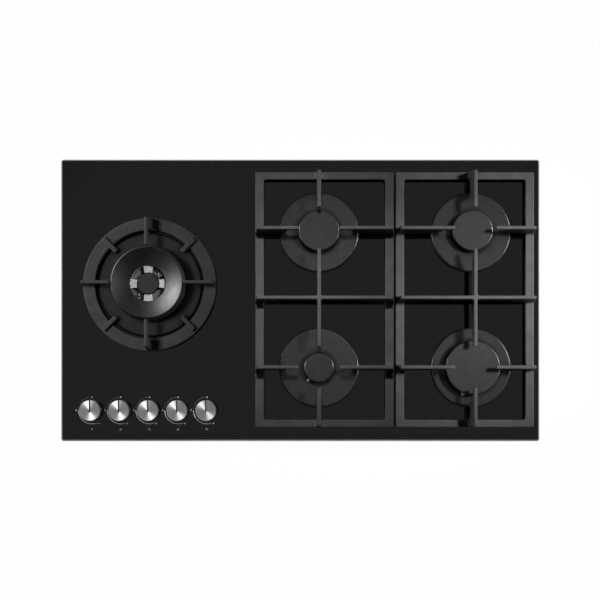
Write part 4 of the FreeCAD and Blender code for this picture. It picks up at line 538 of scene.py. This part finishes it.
def background_world():
    """White for the camera; pale horizon, dark walls and dim ceiling in reflections; faint fill."""
    world = bpy.data.worlds.new("studio")
    bpy.context.scene.world = world
    world.use_nodes = True
    world.cycles.sampling_method = "NONE"
    tree = world.node_tree
    tree.nodes.clear()
    new = tree.nodes.new
    coord, split = new("ShaderNodeTexCoord"), new("ShaderNodeSeparateXYZ")
    ramp = new("ShaderNodeValToRGB")
    tree.links.new(coord.outputs["Generated"], split.inputs[0])
    tree.links.new(split.outputs["Z"], ramp.inputs["Fac"])
    stops = ramp.color_ramp.elements
    stops[0].position, stops[0].color = 0.0, (0.5, 0.5, 0.5, 1)
    stops[1].position, stops[1].color = 0.94, (CEILING, CEILING, CEILING, 1)
    for place, level in ((0.25, 0.25), (0.5, 0.02), (0.88, 0.02)):
        stops.new(place).color = (level, level, level, 1)
    path = new("ShaderNodeLightPath")
    shiny = new("ShaderNodeMath")
    shiny.operation = "MAXIMUM"
    tree.links.new(path.outputs["Is Glossy Ray"], shiny.inputs[0])
    tree.links.new(path.outputs["Is Transmission Ray"], shiny.inputs[1])
    fill, mirror, back = (new("ShaderNodeBackground") for _ in range(3))
    fill.inputs["Color"].default_value = (FILL, FILL, FILL, 1)
    tree.links.new(ramp.outputs["Color"], mirror.inputs["Color"])
    back.inputs["Color"].default_value = (1, 1, 1, 1)
    first, second = new("ShaderNodeMixShader"), new("ShaderNodeMixShader")
    out = new("ShaderNodeOutputWorld")
    tree.links.new(shiny.outputs[0], first.inputs[0])
    tree.links.new(fill.outputs[0], first.inputs[1])
    tree.links.new(mirror.outputs[0], first.inputs[2])
    tree.links.new(path.outputs["Is Camera Ray"], second.inputs[0])
    tree.links.new(first.outputs[0], second.inputs[1])
    tree.links.new(back.outputs[0], second.inputs[2])
    tree.links.new(second.outputs[0], out.inputs[0])


def floor():
    """Pale floor that takes the object's shadow and looks white to the camera and in mirrors."""
    half = FLOOR_HALF
    mesh = bpy.data.meshes.new("floor")
    mesh.from_pydata([(-half, -half, FLOOR_Z), (half, -half, FLOOR_Z), (half, half, FLOOR_Z),
                      (-half, half, FLOOR_Z)], [], [(0, 1, 2, 3)])
    made = bpy.data.objects.new("floor", mesh)
    bpy.context.scene.collection.objects.link(made)
    s = Shader("floor_white")
    s.set(Base_Color=(0.9, 0.9, 0.9, 1.0), Roughness=0.9, Specular_IOR_Level=0.0)
    glow = s.node("ShaderNodeEmission")
    glow.inputs["Color"].default_value = (1, 1, 1, 1)
    path = s.node("ShaderNodeLightPath")
    seen = s.math("MAXIMUM", path.outputs["Is Camera Ray"], path.outputs["Is Glossy Ray"])
    seen = s.math("MAXIMUM", seen, path.outputs["Is Transmission Ray"])
    mix = s.node("ShaderNodeMixShader")
    s.link(s.math("MULTIPLY", seen, FLOOR_GLOW), mix.inputs[0])
    s.link(s.bsdf.outputs[0], mix.inputs[1])
    s.link(glow.outputs[0], mix.inputs[2])
    out = [n for n in s.tree.nodes if n.type == "OUTPUT_MATERIAL"][0]
    s.link(mix.outputs[0], out.inputs["Surface"])
    s.material.cycles.emission_sampling = "NONE"
    mesh.materials.append(s.material)


def softbox(name, place, target, size, power, spread, receivers, glossy=True, diffuse=True):
    """Softbox behind a grid, aimed at a point on the glass."""
    data = bpy.data.lights.new(name, "AREA")
    data.shape = "RECTANGLE"
    data.size, data.size_y = size
    data.energy = power
    data.spread = math.radians(spread)
    made = bpy.data.objects.new(name, data)
    bpy.context.scene.collection.objects.link(made)
    made.location = place
    made.rotation_euler = (Vector(target) - Vector(place)).to_track_quat("-Z", "Y").to_euler()
    made.light_linking.receiver_collection = receivers
    made.visible_glossy = glossy
    made.visible_diffuse = diffuse
    return made


def named(*starts):
    return [node for name, node in NODES.items() if name.startswith(starts)]


def linked(name, nodes, state):
    made = bpy.data.collections.new(name)
    for node in nodes:
        made.objects.link(node)
    for entry in made.collection_objects:
        entry.light_linking.link_state = state
    return made


def lights(edge):
    """Small softboxes, each linked to what it lights; the glass only mirrors its surroundings."""
    glass, knobs, discs = named("glass_top") + [edge], named("knob_"), named("base_discs")
    dish = named("wok_outer_cap")
    wok = [node for node in named("wok") if node not in dish]
    left = named("pan_support_left", "support_feet_left", "cap_front_left", "cap_rear_left",
                 "crown_front_left", "crown_rear_left")
    right = named("pan_support_right", "support_feet_right", "cap_front_right", "cap_rear_right",
                  "crown_front_right", "crown_rear_right")
    softbox("softbox_left", (-0.80, 0.06, 1.1), (-0.28, 0.03, 0.0), (0.28, 0.28), 1.8, 70.0,
            linked("not_left", glass + knobs + discs + dish + left + right, "EXCLUDE"),
            glossy=False)
    softbox("softbox_rear", (0.02, 0.44, 1.2), (0.0, 0.0, 0.0), (0.16, 0.12), 1.25, 36.0,
            linked("not_rear", glass + knobs + wok + dish + right, "EXCLUDE"), glossy=False)
    softbox("softbox_right", (1.15, 0.22, 1.32), (0.34, 0.0, 0.0), (0.25, 0.25), 2.4, 30.0,
            linked("not_right", glass + knobs + wok + dish + left, "EXCLUDE"), glossy=False)
    softbox("softbox_well", (0.42, 0.19, 1.0), (-0.28, 0.03, 0.03), (0.35, 0.35), 3.4, 50.0,
            linked("well", named("wok_head", "spark_electrodes", "thermocouples"), "INCLUDE"))
    softbox("softbox_wok_disc", (-0.80, 0.06, 1.1), (-0.28, 0.03, 0.0), (0.28, 0.28), 1.2, 70.0,
            linked("wok_disc", named("wok_base_disc", "wok_inner_cap"), "INCLUDE"), glossy=False)
    enamelled = discs + named("cap_", "wok_base_disc", "wok_inner_cap")
    sides = linked("not_sides", glass + knobs + dish + enamelled, "EXCLUDE")
    softbox("softbox_side_left", (-1.5, 0.35, 0.20), (0.1, 0.0, 0.03), (0.5, 0.12), 1.2, 50.0,
            sides)
    softbox("softbox_side_right", (1.5, 0.35, 0.20), (-0.1, 0.0, 0.03), (0.5, 0.12), 1.2, 50.0,
            sides)
    softbox("softbox_rim_left", (-1.5, 0.25, 0.25), (0.1, 0.0, 0.02), (1.0, 0.12), 5.0, 50.0,
            linked("rims", enamelled, "INCLUDE"), diffuse=False)
    softbox("softbox_rim_right", (1.5, 0.25, 0.25), (-0.1, 0.0, 0.02), (1.0, 0.12), 5.0, 50.0,
            linked("rims_and_dish", enamelled + dish, "INCLUDE"), diffuse=False)
    only_dish = linked("dish", dish, "INCLUDE")
    softbox("softbox_dish_left", (-1.19, 0.51, 0.65), (-0.28, 0.03, 0.03), (0.8, 0.3), 4.5, 70.0,
            only_dish)
    softbox("softbox_dish_right", (0.42, 0.19, 1.0), (-0.28, 0.03, 0.03), (0.6, 0.6), 0.18, 70.0,
            only_dish)
    softbox("softbox_knobs", (-1.3, 0.86, 2.0), (-0.28, -0.2, 0.0), (0.9, 0.9), 8.0, 70.0,
            linked("knobs", knobs, "INCLUDE"))
    softbox("softbox_edge", (0.0, 0.0, 1.9), (0.0, 0.0, 0.0), (1.2, 0.8), 14.0, 120.0,
            linked("edge", [edge], "INCLUDE"))


def camera():
    data = bpy.data.cameras.new("camera")
    data.sensor_width = CAMERA_SENSOR
    data.lens = CAMERA_LENS
    data.shift_x, data.shift_y = CAMERA_SHIFT
    made = bpy.data.objects.new("camera", data)
    bpy.context.scene.collection.objects.link(made)
    made.location = CAMERA_PLACE
    bpy.context.scene.camera = made


materials = slot_materials()
dress_nodes(materials)
ink = print_ink("print_ink", 0.32).material
paint = grained("pointer_paint", (0.03, 0.03, 0.03), 0.5, grain=0.4 * MM, depth=0.004 * MM).material
for number in range(1, KNOBS + 1):
    print_marks(number, ink)
    pointer_inlay(number, paint)
edge = glass_edge(ground_glass("ground_glass").material)
floor()
background_world()
lights(edge)
camera()
bpy.context.scene.view_settings.view_transform = "Standard"
